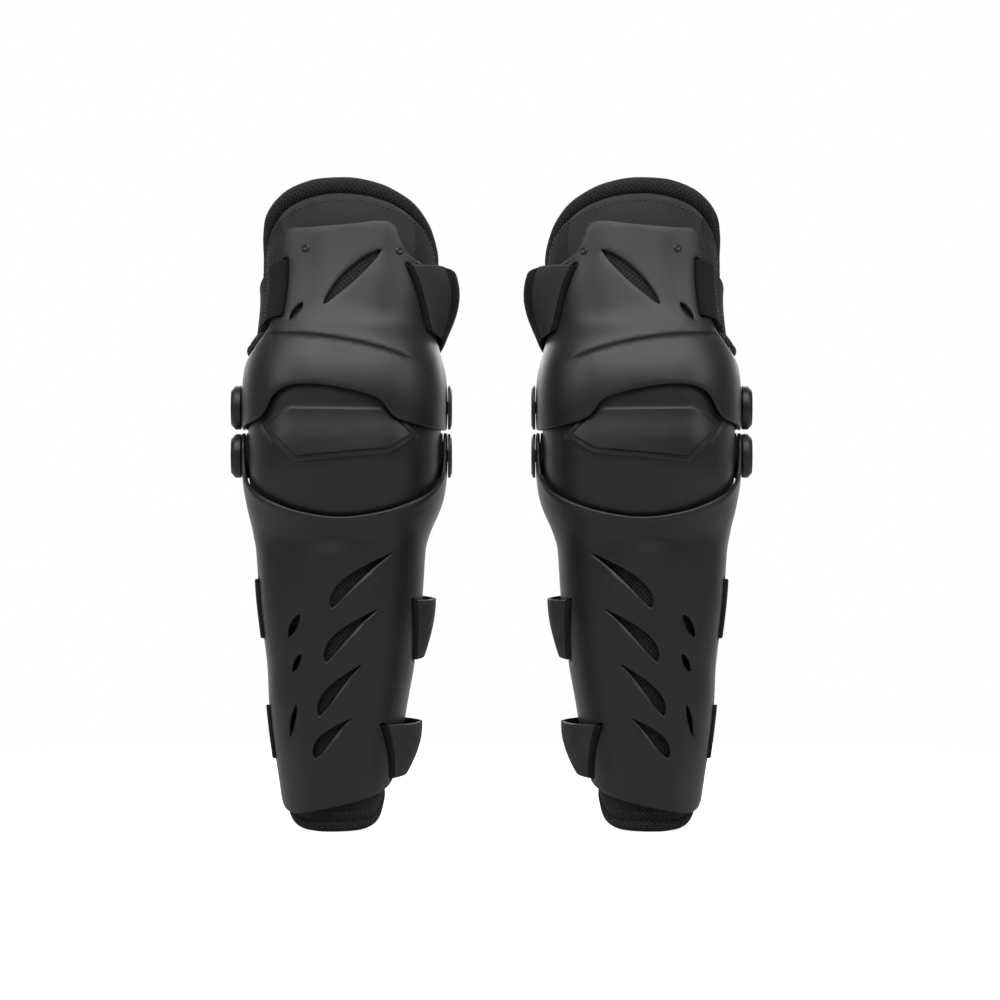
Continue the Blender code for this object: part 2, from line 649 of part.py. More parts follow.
def shin_shell(straps):
    """Ears at the lower axis, a rim under the knee cup, and a ridged plate down the shin with gill vents."""
    rim_edge = [(72, -37), (56, -47), (40, -56), (24, -64), (0, -69)]
    rear = [(100, -50), (94, -85), (91, -120), (91, -255)]
    foot = [(84, -270), (64, -278), (35, -285), (4, -293), (-31, -300), (-62, -297), (-84, -284)]
    round_ear = range(-90, 91, 20)
    inner = rear[::-1] + ear(SHIN, LOWER_PIVOT, EAR_RADIUS, round_ear, 1) + rim_edge
    outer = [(-turn, height) for turn, height in inner[-2::-1]]
    rim = spread(softened(unrolled(inner + outer + foot[::-1])), EDGE_STEP)
    holes = [round_hole(SHIN, LOWER_PIVOT, 1), round_hole(SHIN, LOWER_PIVOT, -1)]
    for name in ("upper_calf", "lower_calf"):
        holes += [slot(straps[name], "outer"), slot(straps[name], "inner")]
    gills = [((37, -95), (-4, -138)), ((27, -139), (-8, -180)), ((16, -182), (-11, -222)),
             ((11, -224), (-14, -255))]
    for (start_turn, start), (end_turn, end) in gills:
        corner = (end_turn + 3, end + 0.45 * (start - end))
        holes.append(leaf((start_turn, start), corner, (end_turn, end), 10 * MM, blunt=1.5))
    nicks = [((-26, -143), (-37, -161), 7), ((-26, -174), (-34, -188), 6), ((-29, -213), (-37, -239), 6)]
    for start, end, width in nicks:
        middle = ((start[0] + end[0]) / 2, (start[1] + end[1]) / 2)
        holes.append(leaf(start, middle, end, width * MM, 5))
    return wall(SHIN, rim, holes, even(0), even(SHELL_WALL), SHELL_STEP)


def strap_room(height):
    """Depth under the shells that a pad keeps free for the straps, down to the last strap."""
    room = PAD_EDGE_DEPTH - PAD_FACE_DEPTH
    return room * step(height, STRAP_ROOM_FOOT - STRAP_ROOM_FADE, STRAP_ROOM_FOOT)


def pad_wall(skin, rim, face_depth, room, level=True):
    """A crowned pad: thinner at its edge, and set back from the shell where the straps pass."""
    def outer(turn, height, edge):
        drop = step(np.abs(turn), PAD_DROP_TURN, PAD_DROP_TURN + PAD_DROP_FADE)
        return face_depth + room(height) * drop

    def inner(turn, height, edge):
        crown = PAD_EDGE_SHARE + (1 - PAD_EDGE_SHARE) * step(edge, 0, PAD_EDGE_BAND)
        return outer(turn, height, edge) + PAD_THICKNESS * crown

    return wall(skin, rim, [], outer, inner, PAD_STEP, level=level)


def roll(skin, path, radius):
    """The rolled edge of a pad, along a path on the unrolled plane."""
    turn, height = path[:, 0] / UNROLL, path[:, 1]
    centres = skin.point(turn, height, roll_depth(height, radius), True)
    run = np.gradient(centres, axis=0)
    run /= np.linalg.norm(run, axis=1, keepdims=True)
    out = skin.outward(turn, height, True)
    out -= (out * run).sum(1, keepdims=True) * run
    out /= np.linalg.norm(out, axis=1, keepdims=True)
    across = np.cross(run, out)
    angles = np.arange(ROLL_SIDES) * 2 * math.pi / ROLL_SIDES
    return loft(np.stack([centres + radius * (math.cos(a) * out + math.sin(a) * across) for a in angles], 1))


def arch(side_turn, foot, spring, rise, power, steps=9):
    """A path up one side, over an arch and down the other side, on the unrolled plane."""
    t = np.sin(np.linspace(0, math.pi / 2, steps))
    turns = side_turn * DEG * UNROLL * (1 - t ** power) ** (1 / power)
    heights = spring + rise * t
    straight = np.linspace(foot, spring, 6)[:-1]
    side = np.vstack([np.stack([0 * straight + turns[0], straight], -1), np.stack([turns, heights], -1)])
    return np.vstack([side, (side * (-1, 1))[-2::-1]])


def clear_foot(depth, radius):
    """How far from an axis a pad of this front depth clears the turning knee cup."""
    inner = depth - PAD_FACE_DEPTH - PAD_THICKNESS
    return math.sqrt((radius + PAD_CUP_CLEARANCE) ** 2 - inner ** 2)


def add_thigh(guard, straps):
    guard.add("thigh_shell", thigh_shell(straps), "thigh", "plastic")
    path = arch(84, THIGH_PAD_FOOT, THIGH_PAD_SPRING, THIGH_PAD_RISE, 1.75)
    guard.add("thigh_pad_roll", roll(THIGH, path, THIGH_ROLL_RADIUS), "thigh", "mesh_fabric", 60)
    edge = inset(path, THIGH_ROLL_RADIUS + ROLL_GAP, roll_stretch(THIGH, path, THIGH_ROLL_RADIUS))
    front = clear_foot(thigh_depth(THIGH_PAD_FOOT), CUP_REACH) / MM
    sides = THIGH_PAD_FOOT / MM
    foot = unrolled([(turn, sides + (front - sides) * part) for turn, part in
                     ((-60, 0.25), (-40, 0.6), (-20, 0.95), (0, 1), (20, 0.95), (40, 0.6), (60, 0.25))])
    rim = spread(np.vstack([edge, foot]), PAD_EDGE_STEP)
    guard.add("thigh_pad", pad_wall(THIGH, rim, PAD_FACE_DEPTH, strap_room), "thigh", "foam", 60)
    add_strap(guard, "thigh", straps["thigh"], "thigh")


def add_knee(guard):
    guard.add("knee_cup", knee_cup(), "knee", "plastic")
    crown, base = cup_rim(0.88, 62)
    half = crown + base
    places = half + [(-turn, height) for turn, height in half[-2:0:-1]]
    rim = spread(softened(unrolled(places)), PAD_EDGE_STEP)
    depth = CUP_WALL + PAD_GAP
    guard.add("knee_pad", pad_wall(CUP, rim, depth, np.zeros_like, level=False), "knee", "foam", 60)


def add_shin(guard, straps):
    guard.add("shin_shell", shin_shell(straps), "shin", "plastic")
    path = arch(97, SHIN_PAD_HEAD, SHIN_PAD_SPRING, -SHIN_PAD_DROP, 2.6)
    guard.add("shin_pad_roll", roll(SHIN, path, SHIN_ROLL_RADIUS), "shin", "mesh_fabric", 60)
    edge = inset(path, -SHIN_ROLL_RADIUS - ROLL_GAP, roll_stretch(SHIN, path, SHIN_ROLL_RADIUS))
    front = (LOWER_PIVOT - clear_foot(shin_depth(SHIN_PAD_HEAD), CUP_REACH)) / MM
    sides = SHIN_PAD_HEAD / MM
    head = unrolled([(turn, sides + (front - sides) * part) for turn, part in
                     ((-65, 0.3), (-40, 0.7), (-20, 0.95), (0, 1), (20, 0.95), (40, 0.7), (65, 0.3))])
    rim = spread(np.vstack([edge, head]), PAD_EDGE_STEP)
    guard.add("shin_pad", pad_wall(SHIN, rim, PAD_FACE_DEPTH, strap_room), "shin", "foam", 60)
    for name in ("upper_calf", "lower_calf"):
        add_strap(guard, name, straps[name], "shin")


def rivet():
    """A rivet from its inner head to its outer head."""
    inside_face = CUP_HALF_WIDTH - CUP_WALL - RIVET_SEAT
    outside_face = SHELL_HALF_WIDTH + CAP_SEAT
    head = RIVET_HEAD_RADIUS
    return turned([(inside_face - RIVET_HEAD_HEIGHT, 0), (inside_face - RIVET_HEAD_HEIGHT, head),
                   (inside_face, head), (inside_face, RIVET_RADIUS), (outside_face, RIVET_RADIUS),
                   (outside_face, head), (outside_face + RIVET_HEAD_HEIGHT, 0.8 * head),
                   (outside_face + RIVET_HEAD_HEIGHT, 0)])


def washer():
    """A washer in the gap between the cup and a shell's ear."""
    near = CUP_HALF_WIDTH + WASHER_CLEARANCE
    far = CUP_HALF_WIDTH + SLIDE_GAP - WASHER_CLEARANCE
    bore = RIVET_RADIUS + RIVET_CLEARANCE
    return turned([(near, bore), (near, WASHER_RADIUS), (far, WASHER_RADIUS), (far, bore)], closed=True)


def cap(height):
    """A domed cap over a rivet head."""
    base = SHELL_HALF_WIDTH + CAP_SEAT
    roof = base + RIVET_HEAD_HEIGHT + CAP_RECESS_CLEARANCE
    bore = RIVET_HEAD_RADIUS + CAP_RECESS_CLEARANCE
    top = base + height
    return turned([(roof, 0), (roof, bore), (base, bore), (base, CAP_RADIUS),
                   (top - 0.45 * height, CAP_RADIUS), (top, 0.8 * CAP_RADIUS), (top, 0)])


def add_hinges(guard):
    """Rivets and washers turn with the cup; caps sit on the ears of the shells."""
    for side, direction, height in (("outer", -1, OUTER_CAP_HEIGHT), ("inner", 1, INNER_CAP_HEIGHT)):
        for joint, pivot in (("thigh", UPPER_PIVOT), ("shin", LOWER_PIVOT)):
            for piece, (points, faces), body, finish in (
                    ("rivet", rivet(), "knee", "metal"), ("washer", washer(), "knee", "metal"),
                    ("cap", cap(height), joint, "plastic")):
                rise = 0 if body == "thigh" else pivot
                placed = points * (direction, 1, 1) + (0, 0, rise)
                guard.add(f"{side}_{joint}_pivot_{piece}", (placed, faces), body, finish)


def main():
    for old in list(bpy.data.objects):
        bpy.data.objects.remove(old, do_unlink=True)
    materials = {
        "plastic": material("moulded_plastic", 0.035, 0.45),
        "foam": material("foam_lining", 0.012, 0.9),
        "mesh_fabric": material("mesh_fabric", 0.02, 0.85),
        "webbing": material("elastic_webbing", 0.02, 0.8),
        "rubber": material("rubber_tab", 0.015, 0.6),
        "metal": material("dark_metal", 0.2, 0.4, 1.0),
    }
    straps = strap_bars()
    for name, mirror in (("right", 1), ("left", -1)):
        guard = Guard(name, mirror, materials)
        add_thigh(guard, straps)
        add_knee(guard)
        add_shin(guard, straps)
        add_hinges(guard)


main()
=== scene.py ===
"""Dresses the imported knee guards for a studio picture.

Each guard is drawn again at a fine step, on the same skins as its solids: moulded shells with
rounded edges, vents and ledges, foam pads swollen under their covers, rolled mesh edges, woven
straps with pull tabs, and turned caps and rivets at the knee. Everything is drawn once for the
right guard, in metres, and mirrored for the left one. A place on a shell is given by its turn
round the leg from straight ahead, in degrees, and by its height in millimetres.
"""
import math

import bmesh
import bpy
import numpy as np
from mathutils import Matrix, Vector
from mathutils.bvhtree import BVHTree
from mathutils.geometry import delaunay_2d_cdt


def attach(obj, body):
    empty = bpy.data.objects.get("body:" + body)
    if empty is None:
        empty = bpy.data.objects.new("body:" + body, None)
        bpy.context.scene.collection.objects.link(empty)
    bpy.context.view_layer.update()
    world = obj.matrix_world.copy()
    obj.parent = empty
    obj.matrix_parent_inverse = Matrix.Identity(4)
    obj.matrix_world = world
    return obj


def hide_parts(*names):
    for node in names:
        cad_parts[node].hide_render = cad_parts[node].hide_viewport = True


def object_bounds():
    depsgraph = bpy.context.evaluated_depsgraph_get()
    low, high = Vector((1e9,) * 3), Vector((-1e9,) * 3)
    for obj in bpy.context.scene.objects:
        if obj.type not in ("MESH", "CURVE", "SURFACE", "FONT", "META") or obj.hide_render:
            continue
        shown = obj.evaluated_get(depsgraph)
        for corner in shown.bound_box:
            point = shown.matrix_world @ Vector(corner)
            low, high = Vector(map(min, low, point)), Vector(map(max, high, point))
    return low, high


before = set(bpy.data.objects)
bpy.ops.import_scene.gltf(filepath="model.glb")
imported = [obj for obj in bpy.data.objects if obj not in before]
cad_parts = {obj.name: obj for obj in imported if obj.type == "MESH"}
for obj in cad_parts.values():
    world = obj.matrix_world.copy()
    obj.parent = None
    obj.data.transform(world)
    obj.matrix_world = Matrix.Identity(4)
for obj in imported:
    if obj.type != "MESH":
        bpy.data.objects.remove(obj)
cad_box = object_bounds()

MM = 0.001
DEG = math.pi / 180

# Sizes of the solids that the dressed pieces lie on
GUARD_SPACING = 232 * MM
PIVOT_SPACING = 38 * MM
CUP_REACH = 86 * MM
CUP_HALF_WIDTH = 76 * MM
CUP_WALL = 3 * MM
CUP_TOP_ANGLE = 50 * DEG
CUP_FOOT_ANGLE = 51 * DEG
CUP_EAR_RADIUS = 20 * MM
SQUARENESS = 2.5
SHELL_WALL = 3.2 * MM
SLIDE_GAP = 2 * MM
EAR_GAP = 1.2 * MM
THIGH_LEAN = 18 * DEG
SHIN_RIDGE = 2.5 * MM
KNEE_BROW = 3 * MM
THIGH_LEDGE = 1.2 * MM
THIGH_LEDGE_FADE = 34 * MM
RIVET_RADIUS = 5 * MM
RIVET_CLEARANCE = 0.4 * MM
RIVET_HEAD_RADIUS = 9 * MM
RIVET_HEAD_HEIGHT = 1.6 * MM
RIVET_SEAT = 0.5 * MM
WASHER_RADIUS = 10 * MM
WASHER_CLEARANCE = 0.5 * MM
CAP_MARGIN = 0.9 * MM
CAP_SEAT = 0.3 * MM
CAP_RECESS_CLEARANCE = 0.5 * MM
OUTER_CAP_HEIGHT = 8 * MM
INNER_CAP_HEIGHT = 3.2 * MM
PAD_THICKNESS = 9 * MM
PAD_EDGE_SHARE = 0.6
PAD_EDGE_BAND = 14 * MM
PAD_GAP = 1.5 * MM
PAD_DROP_TURN = 15 * DEG
PAD_DROP_FADE = 10 * DEG
STRAP_ROOM_FOOT = -273 * MM
STRAP_ROOM_FADE = 16 * MM
PAD_CUP_CLEARANCE = 3 * MM
THIGH_ROLL_RADIUS = 7.5 * MM
SHIN_ROLL_RADIUS = 4.5 * MM
THIGH_PAD_FOOT = 36 * MM
THIGH_PAD_SPRING = 118 * MM
THIGH_PAD_RISE = 42 * MM
SHIN_PAD_HEAD = -80 * MM
SHIN_PAD_SPRING = -262 * MM
SHIN_PAD_DROP = 46.5 * MM
STRAP_THICKNESS = 1.8 * MM
STRAP_GAP = 0.8 * MM
STRAP_END_THICKNESS = 2.6 * MM
STRAP_END_START = 0.5
STRAP_END_TURN = 20
SLOT_CLEARANCE = 1 * MM
SLOT_END = 1.5 * MM
UNROLL = 70 * MM

UPPER_PIVOT = PIVOT_SPACING / 2
LOWER_PIVOT = -PIVOT_SPACING / 2
SHELL_REACH = CUP_REACH + SLIDE_GAP + SHELL_WALL
SHELL_HALF_WIDTH = CUP_HALF_WIDTH + SLIDE_GAP + SHELL_WALL
EAR_RADIUS = (PIVOT_SPACING - EAR_GAP) / 2
CAP_RADIUS = EAR_RADIUS - CAP_MARGIN
PAD_FACE_DEPTH = SHELL_WALL + PAD_GAP
PAD_EDGE_DEPTH = SHELL_WALL + 2 * STRAP_GAP + STRAP_THICKNESS + PAD_GAP
STRAP_INNER_DEPTH = SHELL_WALL + STRAP_GAP + STRAP_THICKNESS / 2
STRAP_FOLD = SHELL_WALL + 2 * STRAP_GAP + STRAP_THICKNESS
STRAP_STACK = STRAP_THICKNESS + STRAP_GAP

# Fine steps of the dressed meshes
SHELL_STEP = 4 * MM
EDGE_STEP = 2.5 * MM
SLOT_STEP = 1.2 * MM
PAD_STEP = 3.8 * MM
SEAM_STEP = 2 * MM
ROLL_STEP = 3 * MM
ROLL_SIDES = 20
TURNED_SIDES = 64
HOLE_SIDES = 32
STRAP_FINENESS = 5

# Sizes that only the dressed pieces have
EDGE_ROUNDING = 0.46  # of a wall's thickness
PAD_TUCK = 2 * MM
PAD_DIVE_BAND = 7 * MM
PAD_FALL_BAND = 24 * MM
PAD_RIM = 5 * MM
PAD_RIM_RING = 2.5 * MM
PAD_ROUNDING = 0.6 * MM
PAD_ROUNDING_BAND = 4 * MM
PAD_FLARE = 10 * MM
PAD_FLARE_TURNS = (50 * DEG, 75 * DEG)
PAD_FLARE_HEIGHTS = (42 * MM, 66 * MM)
PAD_FILL = 0.8
THIGH_PAD_DIVE = 5 * MM
SHIN_PAD_DIVE = 2.5 * MM
COVER_GAP = 0.4 * MM
COVER_SLACK = 1.1 * MM
COVER_SLACK_START = 2 * MM
SWELL_FRAMES = 20
SWELL_TO_SHELL = 0.6 * MM
SWELL_TO_LEG = 5 * MM
SWELL_ALONG = 1.5 * MM
CHANNEL_DEPTH = 1.8 * MM
CHANNEL_WIDTH = 2.2 * MM
WING_TURN = 44 * DEG
ROLL_BEND = 10 * MM
ROLL_RUN = 18 * MM
ROLL_TAPER = 26 * MM
ROLL_FILL = 0.9
ROLL_SIZE = 0.975  # of the roll's radius, to leave room for its puckers
PUCKERS = ((0.018, 7.3 * MM, 0), (0.014, 4.1 * MM, 1.3))  # rise, length of a radian, start
THIGH_SEAM_SETBACK = 9 * MM
SHIN_SEAM_SETBACK = -8 * MM
SEAM_BARE_END = 17  # steps
SEAM_STITCHES = dict(pitch=4.5 * MM, length=3.2 * MM, radius=0.45 * MM)
STRAP_STITCHES = dict(pitch=3.6 * MM, length=2.7 * MM, radius=0.4 * MM)
STRAP_SLOT_STOP = 35  # where a strap has come out of its inner slot
STRAP_EDGE_STOP = -7  # where it folds round the inner edge
SLEEVE_MARGIN = 1.2 * MM
TAB_STOPS = 8
TAB_RIB = 0.5  # of half the tab's thickness
BACKING_DEPTHS = (SHELL_WALL + 0.1 * MM, SHELL_WALL + 0.7 * MM)
DUST_RING_CLEARANCE = 0.25 * MM
SHARP_ANGLE = 50  # degrees between faces, from which an edge is not shaded smooth
TURNED_SHARP_ANGLE = 35

# Sizes of the studio
FLOOR_GAP = 0.5 * MM
FLOOR_RADIUS = 1.4
FLOOR_SIDES = 64
CAMERA_LENS = 180
CAMERA_PLACE = (6.6 * MM, -3.95, -54 * MM)
CAMERA_FAR = 30


# Skins

def curve_through(stations):
    """A smooth function of height through (height, value) stations, both in millimetres."""
    heights, values = np.array(sorted(stations), float).T * MM
    rises = np.diff(values) / np.diff(heights)
    products = rises[:-1] * rises[1:]
    inner = np.where(products > 0, 2 * products / np.where(products > 0, rises[:-1] + rises[1:], 1), 0)
    slopes = np.concatenate([rises[:1], inner, rises[-1:]])

    def value(height):
        height = np.clip(height, heights[0], heights[-1])
        i = np.clip(np.searchsorted(heights, height) - 1, 0, len(heights) - 2)
        span = heights[i + 1] - heights[i]
        t = (height - heights[i]) / span
        ends = values[i] * (1 + 2 * t) * (1 - t) ** 2 + values[i + 1] * t * t * (3 - 2 * t)
        return ends + span * (slopes[i] * t * (1 - t) ** 2 - slopes[i + 1] * t * t * (1 - t))

    return value


def step(value, low, high):
    """A smooth step from 0 at low to 1 at high."""
    t = np.clip((value - low) / (high - low), 0, 1)
    return t * t * (3 - 2 * t)


def unit(vectors):
    """Vectors of the same directions, of length one."""
    return vectors / np.linalg.norm(vectors, axis=-1, keepdims=True)


thigh_half_width = curve_through([(-40, 58), (0, 62), (35, 72), (60, 75), (90, 76), (120, 78), (165, 78)])
thigh_depth = curve_through([(-40, 60), (0, 70), (30, 83.5), (90, 84), (130, 85.5), (165, 86)])
thigh_shift = curve_through([(-40, 0), (40, 0), (90, 4), (120, 4), (165, -5)])
shin_half_width = curve_through([(-313, 39), (-300, 41.5), (-280, 44.5), (-250, 49.5), (-215, 54.5),
                                 (-180, 58.5), (-130, 64.5), (-93, 67), (-79, 69), (-54, 66), (-19, 60)])
shin_depth = curve_through([(-313, 56), (-259, 62), (-189, 66), (-129, 68.5), (-79, 70), (-64, 68),
                            (-19, 58)])
shin_shift = curve_through([(-313, -7), (-280, -6.5), (-215, -5), (-180, -3), (-93, -3), (-50, 0),
                            (-19, 0)])


def oval(turn, half_width, depth, power=2.2):
    """Reach of an oval section."""
    across = np.abs(np.sin(turn)) / half_width
    ahead = np.abs(np.cos(turn)) / depth
    return (across ** power + ahead ** power) ** (-1 / power)


def barrel(turn, rise, reach, half_width):
    """Reach of a barrel round a crosswise axis, at a rise above or below that axis."""
    across = np.abs(np.sin(turn))
    ahead = np.cos(turn)
    low = np.zeros(np.broadcast(turn, rise).shape)
    high = low + 2 * max(reach, half_width)
    for _ in range(45):
        middle = (low + high) / 2
        radius = np.hypot(middle * ahead, rise)
        filled = (middle * across / half_width) ** SQUARENESS + (radius / reach) ** SQUARENESS
        low = np.where(filled < 1, middle, low)
        high = np.where(filled < 1, high, middle)
    return (low + high) / 2


def merged(one, other, sharpness=30):
    """The larger of two reaches, with a small fillet where they cross."""
    return other * (1 + (one / other) ** sharpness) ** (1 / sharpness)


def cup_reach(turn, height):
    rise = np.maximum(np.abs(height) - UPPER_PIVOT, 0)
    return barrel(turn, rise, CUP_REACH, CUP_HALF_WIDTH)


def thigh_reach(turn, height):
    knee = barrel(turn, height, SHELL_REACH, SHELL_HALF_WIDTH)
    return merged(knee, oval(turn, thigh_half_width(height), thigh_depth(height)))


def shin_reach(turn, height):
    knee = barrel(turn, np.minimum(height - LOWER_PIVOT, 0), SHELL_REACH, SHELL_HALF_WIDTH)
    leg = oval(turn, shin_half_width(height), shin_depth(height))
    ridge_line = (-13 + 30 * (height + 124 * MM)) * DEG
    along = step(-height, 84 * MM, 115 * MM) * step(height, -300 * MM, -270 * MM)
    leg = leg + SHIN_RIDGE * along * np.exp(-((turn - ridge_line) / (13 * DEG)) ** 2)
    return merged(knee, leg)


class Skin:
    """An outer surface round a leg axis, given by its reach at a turn (in radians) and a height."""

    def __init__(self, reach, shift=lambda height: 0 * height):
        self.reach = reach
        self.shift = shift

    def surface(self, turn, height):
        reach = self.reach(turn, height)
        return np.stack([self.shift(height) + reach * np.sin(turn), -reach * np.cos(turn), height], -1)

    def outward(self, turn, height, level=False):
        near = 0.1 * MM
        around = self.surface(turn + near / UNROLL, height) - self.surface(turn - near / UNROLL, height)
        upward = self.surface(turn, height + near) - self.surface(turn, height - near)
        if level:
            upward = upward * 0 + (0, 0, 1)
        return unit(np.cross(around, upward))

    def point(self, turn, height, depth=0.0, level=False):
        """Points at a depth under the skin; a level depth is measured without rising or falling."""
        turn, height = np.broadcast_arrays(np.asarray(turn, float), np.asarray(height, float))
        sunk = np.broadcast_to(depth, turn.shape)[..., None]
        return self.surface(turn, height) - sunk * self.outward(turn, height, level)

    def side_turn(self, back, height):
        """The turn, in degrees, at which the side of the skin is this far behind the leg axis."""
        low, high = 30 * DEG, 150 * DEG
        for _ in range(40):
            middle = (low + high) / 2
            if -self.reach(np.float64(middle), height) * math.cos(middle) < back:
                low = middle
            else:
                high = middle
        return low / DEG

    def plan(self, points):
        """Places on the unrolled plane of points near the skin."""
        turn = np.arctan2(points[:, 0] - self.shift(points[:, 2]), -points[:, 1])
        return np.stack([turn * UNROLL, points[:, 2]], -1)


CUP = Skin(cup_reach)
THIGH = Skin(thigh_reach, thigh_shift)
SHIN = Skin(shin_reach, shin_shift)


# Outlines on the unrolled plane

def unrolled(places):
    """Places of (degrees, millimetres) on the unrolled plane, in metres."""
    return np.array([(turn * DEG * UNROLL, height * MM) for turn, height in places])


def mirrored(half, closed=False):
    """Places on one side and the same ones on the other; a closed half starts and ends in the middle."""
    return half + [(-turn, height) for turn, height in (half[-2:0:-1] if closed else half[-2::-1])]


def ear(skin, pivot, radius, angles, side):
    """Places on an arc round a pivot, by angle from straight up towards the front, in degrees."""
    places = []
    for angle in angles:
        height = pivot + radius * math.cos(angle * DEG)
        turn = skin.side_turn(-radius * math.sin(angle * DEG), height)
        places.append((side * turn, height / MM))
    return places


def softened(loop, rounds=4):
    """A closed outline with its corners cut round."""
    for _ in range(rounds):
        following = np.roll(loop, -1, 0)
        loop = np.stack([0.75 * loop + 0.25 * following, 0.25 * loop + 0.75 * following], 1).reshape(-1, 2)
    return loop


def lengths(path):
    """Length along a path at each of its points."""
    return np.concatenate([[0], np.cumsum(np.linalg.norm(np.diff(path, axis=0), axis=1))])


def at(stops, along, path):
    """Points of a path at stops along it."""
    return np.stack([np.interp(stops, along, column) for column in path.T], -1)


def spread(path, spacing, closed=True):
    """A path with its points spread evenly."""
    if closed:
        path = np.vstack([path, path[:1]])
    along = lengths(path)
    stops = np.linspace(0, along[-1], max(round(along[-1] / spacing), 3) + (not closed), endpoint=not closed)
    return at(stops, along, path)


def inset(path, distance, stretch=1.0):
    """An open path moved to its left by a true distance, on a plane that is stretched sideways."""
    run = np.gradient(path, axis=0)
    run[:, 0] /= stretch
    run = unit(run)
    return path + distance * np.stack([-run[:, 1] * stretch, run[:, 0]], -1)


def shifted(loop, distance):
    """A closed outline moved to its left."""
    run = unit(np.roll(loop, -1, 0) - np.roll(loop, 1, 0))
    return loop + distance * np.stack([-run[:, 1], run[:, 0]], -1)


def wound(loop, sign):
    """A closed outline that runs anticlockwise (+1) or clockwise (-1)."""
    following = np.roll(loop, -1, 0)
    area = (loop[:, 0] * following[:, 1] - loop[:, 1] * following[:, 0]).sum()
    return loop if area * sign > 0 else loop[::-1]


def spine(start, bend, end, count=24):
    """A curved line from start to end, pulled towards bend."""
    start, bend, end = unrolled([start, bend, end])
    t = np.linspace(0, 1, count)[:, None]
    return (1 - t) ** 2 * start + 2 * t * (1 - t) * bend + t * t * end


def leaf(line, left, right, blunt=1.0):
    """A vent outline: a blade that swells to a width on the left and the right of a line."""
    t = np.linspace(0, 1, len(line))
    swell = np.sin(math.pi * t ** blunt) ** 0.7
    away = inset(line, 1) - line
    one, other = line + away * (left * swell)[:, None], line - away * (right * swell)[:, None]
    return np.vstack([one, other[-2:0:-1]])


def round_hole(skin, pivot, side):
    """A rivet hole in the side of a shell."""
    angles = np.arange(HOLE_SIDES) * 360 / HOLE_SIDES
    return unrolled(ear(skin, pivot, RIVET_RADIUS + RIVET_CLEARANCE, angles, side))


def inside(loop, points):
    """Which points lie inside a closed loop."""
    x, y = points.T
    found = np.zeros(len(points), bool)
    for (x0, y0), (x1, y1) in zip(loop, np.roll(loop, -1, 0)):
        if y0 != y1:
            found ^= ((y0 > y) != (y1 > y)) & (x < x0 + (y - y0) * (x1 - x0) / (y1 - y0))
    return found


def nearest(line, points, closed=True):
    """Distance of points from a line, the side they lie on (left is +1) and the share along the line."""
    ends = np.roll(line, -1, 0) if closed else line[1:]
    starts = line if closed else line[:-1]
    edge = ends - starts
    distance, side, share = [], [], []
    # A part of the points at a time, to spare memory
    for part in np.array_split(points, max(1, len(points) // 1500)):
        reach = part[:, None] - starts
        along = np.clip((reach * edge).sum(-1) / (edge * edge).sum(-1), 0, 1)
        apart = np.linalg.norm(reach - along[..., None] * edge, axis=-1)
        best = apart.argmin(1)
        row = np.arange(len(part))
        distance.append(apart[row, best])
        cross = edge[best, 0] * reach[row, best, 1] - edge[best, 1] * reach[row, best, 0]
        side.append(np.where(cross < 0, -1.0, 1.0))
        share.append((best + along[row, best]) / len(edge))
    return np.concatenate(distance), np.concatenate(side), np.concatenate(share)


def triangulated(rim, holes, rings, spacing):
    """Points and triangles that fill an outline, round its holes and along its rings."""
    loops = [rim, *holes, *rings]
    low, high = rim.min(0), rim.max(0)
    grid = []
    for row, y in enumerate(np.arange(low[1] + spacing / 2, high[1], spacing * 0.87)):
        grid += [(x + row % 2 * spacing / 2, y) for x in np.arange(low[0], high[0], spacing)]
    grid = np.array(grid)
    keep = inside(rim, grid)
    for hole in holes:
        keep &= ~inside(hole, grid)
    for loop in loops:
        keep &= nearest(loop, grid)[0] > 0.5 * spacing
    points = np.vstack([*loops, grid[keep]])
    edges = []
    for loop in loops:
        first = edges[-1][0] + 1 if edges else 0
        edges += [(first + i, first + (i + 1) % len(loop)) for i in range(len(loop))]
    found, _, faces, *_ = delaunay_2d_cdt([Vector(p / MM) for p in points], edges, [], 0, 1e-6)
    found = np.array([v[:] for v in found]) * MM
    faces = np.array([f[:] for f in faces])
    middles = found[faces].mean(1)
    keep = inside(rim, middles)
    for hole in holes:
        keep &= ~inside(hole, middles)
    used, faces = np.unique(faces[keep], return_inverse=True)
    return found[used], faces.reshape(-1, 3)


def wall(skin, plan, faces, outer, inner, level=False):
    """A closed wall under a skin, between an outer and an inner depth at each point."""
    turn, height = plan[:, 0] / UNROLL, plan[:, 1]
    front = skin.point(turn, height, outer, level)
    back = skin.point(turn, height, inner, level)
    count = len(plan)
    runs = {(int(f[k]), int(f[k - 2])) for f in faces for k in range(3)}
    sides = [(b, a, a + count, b + count) for a, b in sorted(runs) if (b, a) not in runs]
    lining = [tuple(int(v) + count for v in reversed(f)) for f in faces]
    return np.vstack([front, back]), [tuple(int(v) for v in f) for f in faces] + lining + sides


# Relief on the shells: each is a function of places on the unrolled plane

def bead(line, height, width, taper=0.12):
    """A rounded ridge along an open line, or a groove where its height is negative."""
    def raised(plan):
        distance, _, share = nearest(line, plan, closed=False)
        ends = step(share, 0, taper) * step(1 - share, 0, taper)
        return height * ends * np.exp(-(distance / width) ** 2)

    return raised


def ledge(line, height, width, fade):
    """A step down across an open line: its left is raised, and the rise fades away from the line."""
    def raised(plan):
        distance, side, share = nearest(line, plan, closed=False)
        ends = step(share, 0, 0.1) * step(1 - share, 0, 0.1)
        across = step(side * distance, -width / 2, width / 2) * (1 - step(distance, width, fade))
        return height * ends * across

    return raised


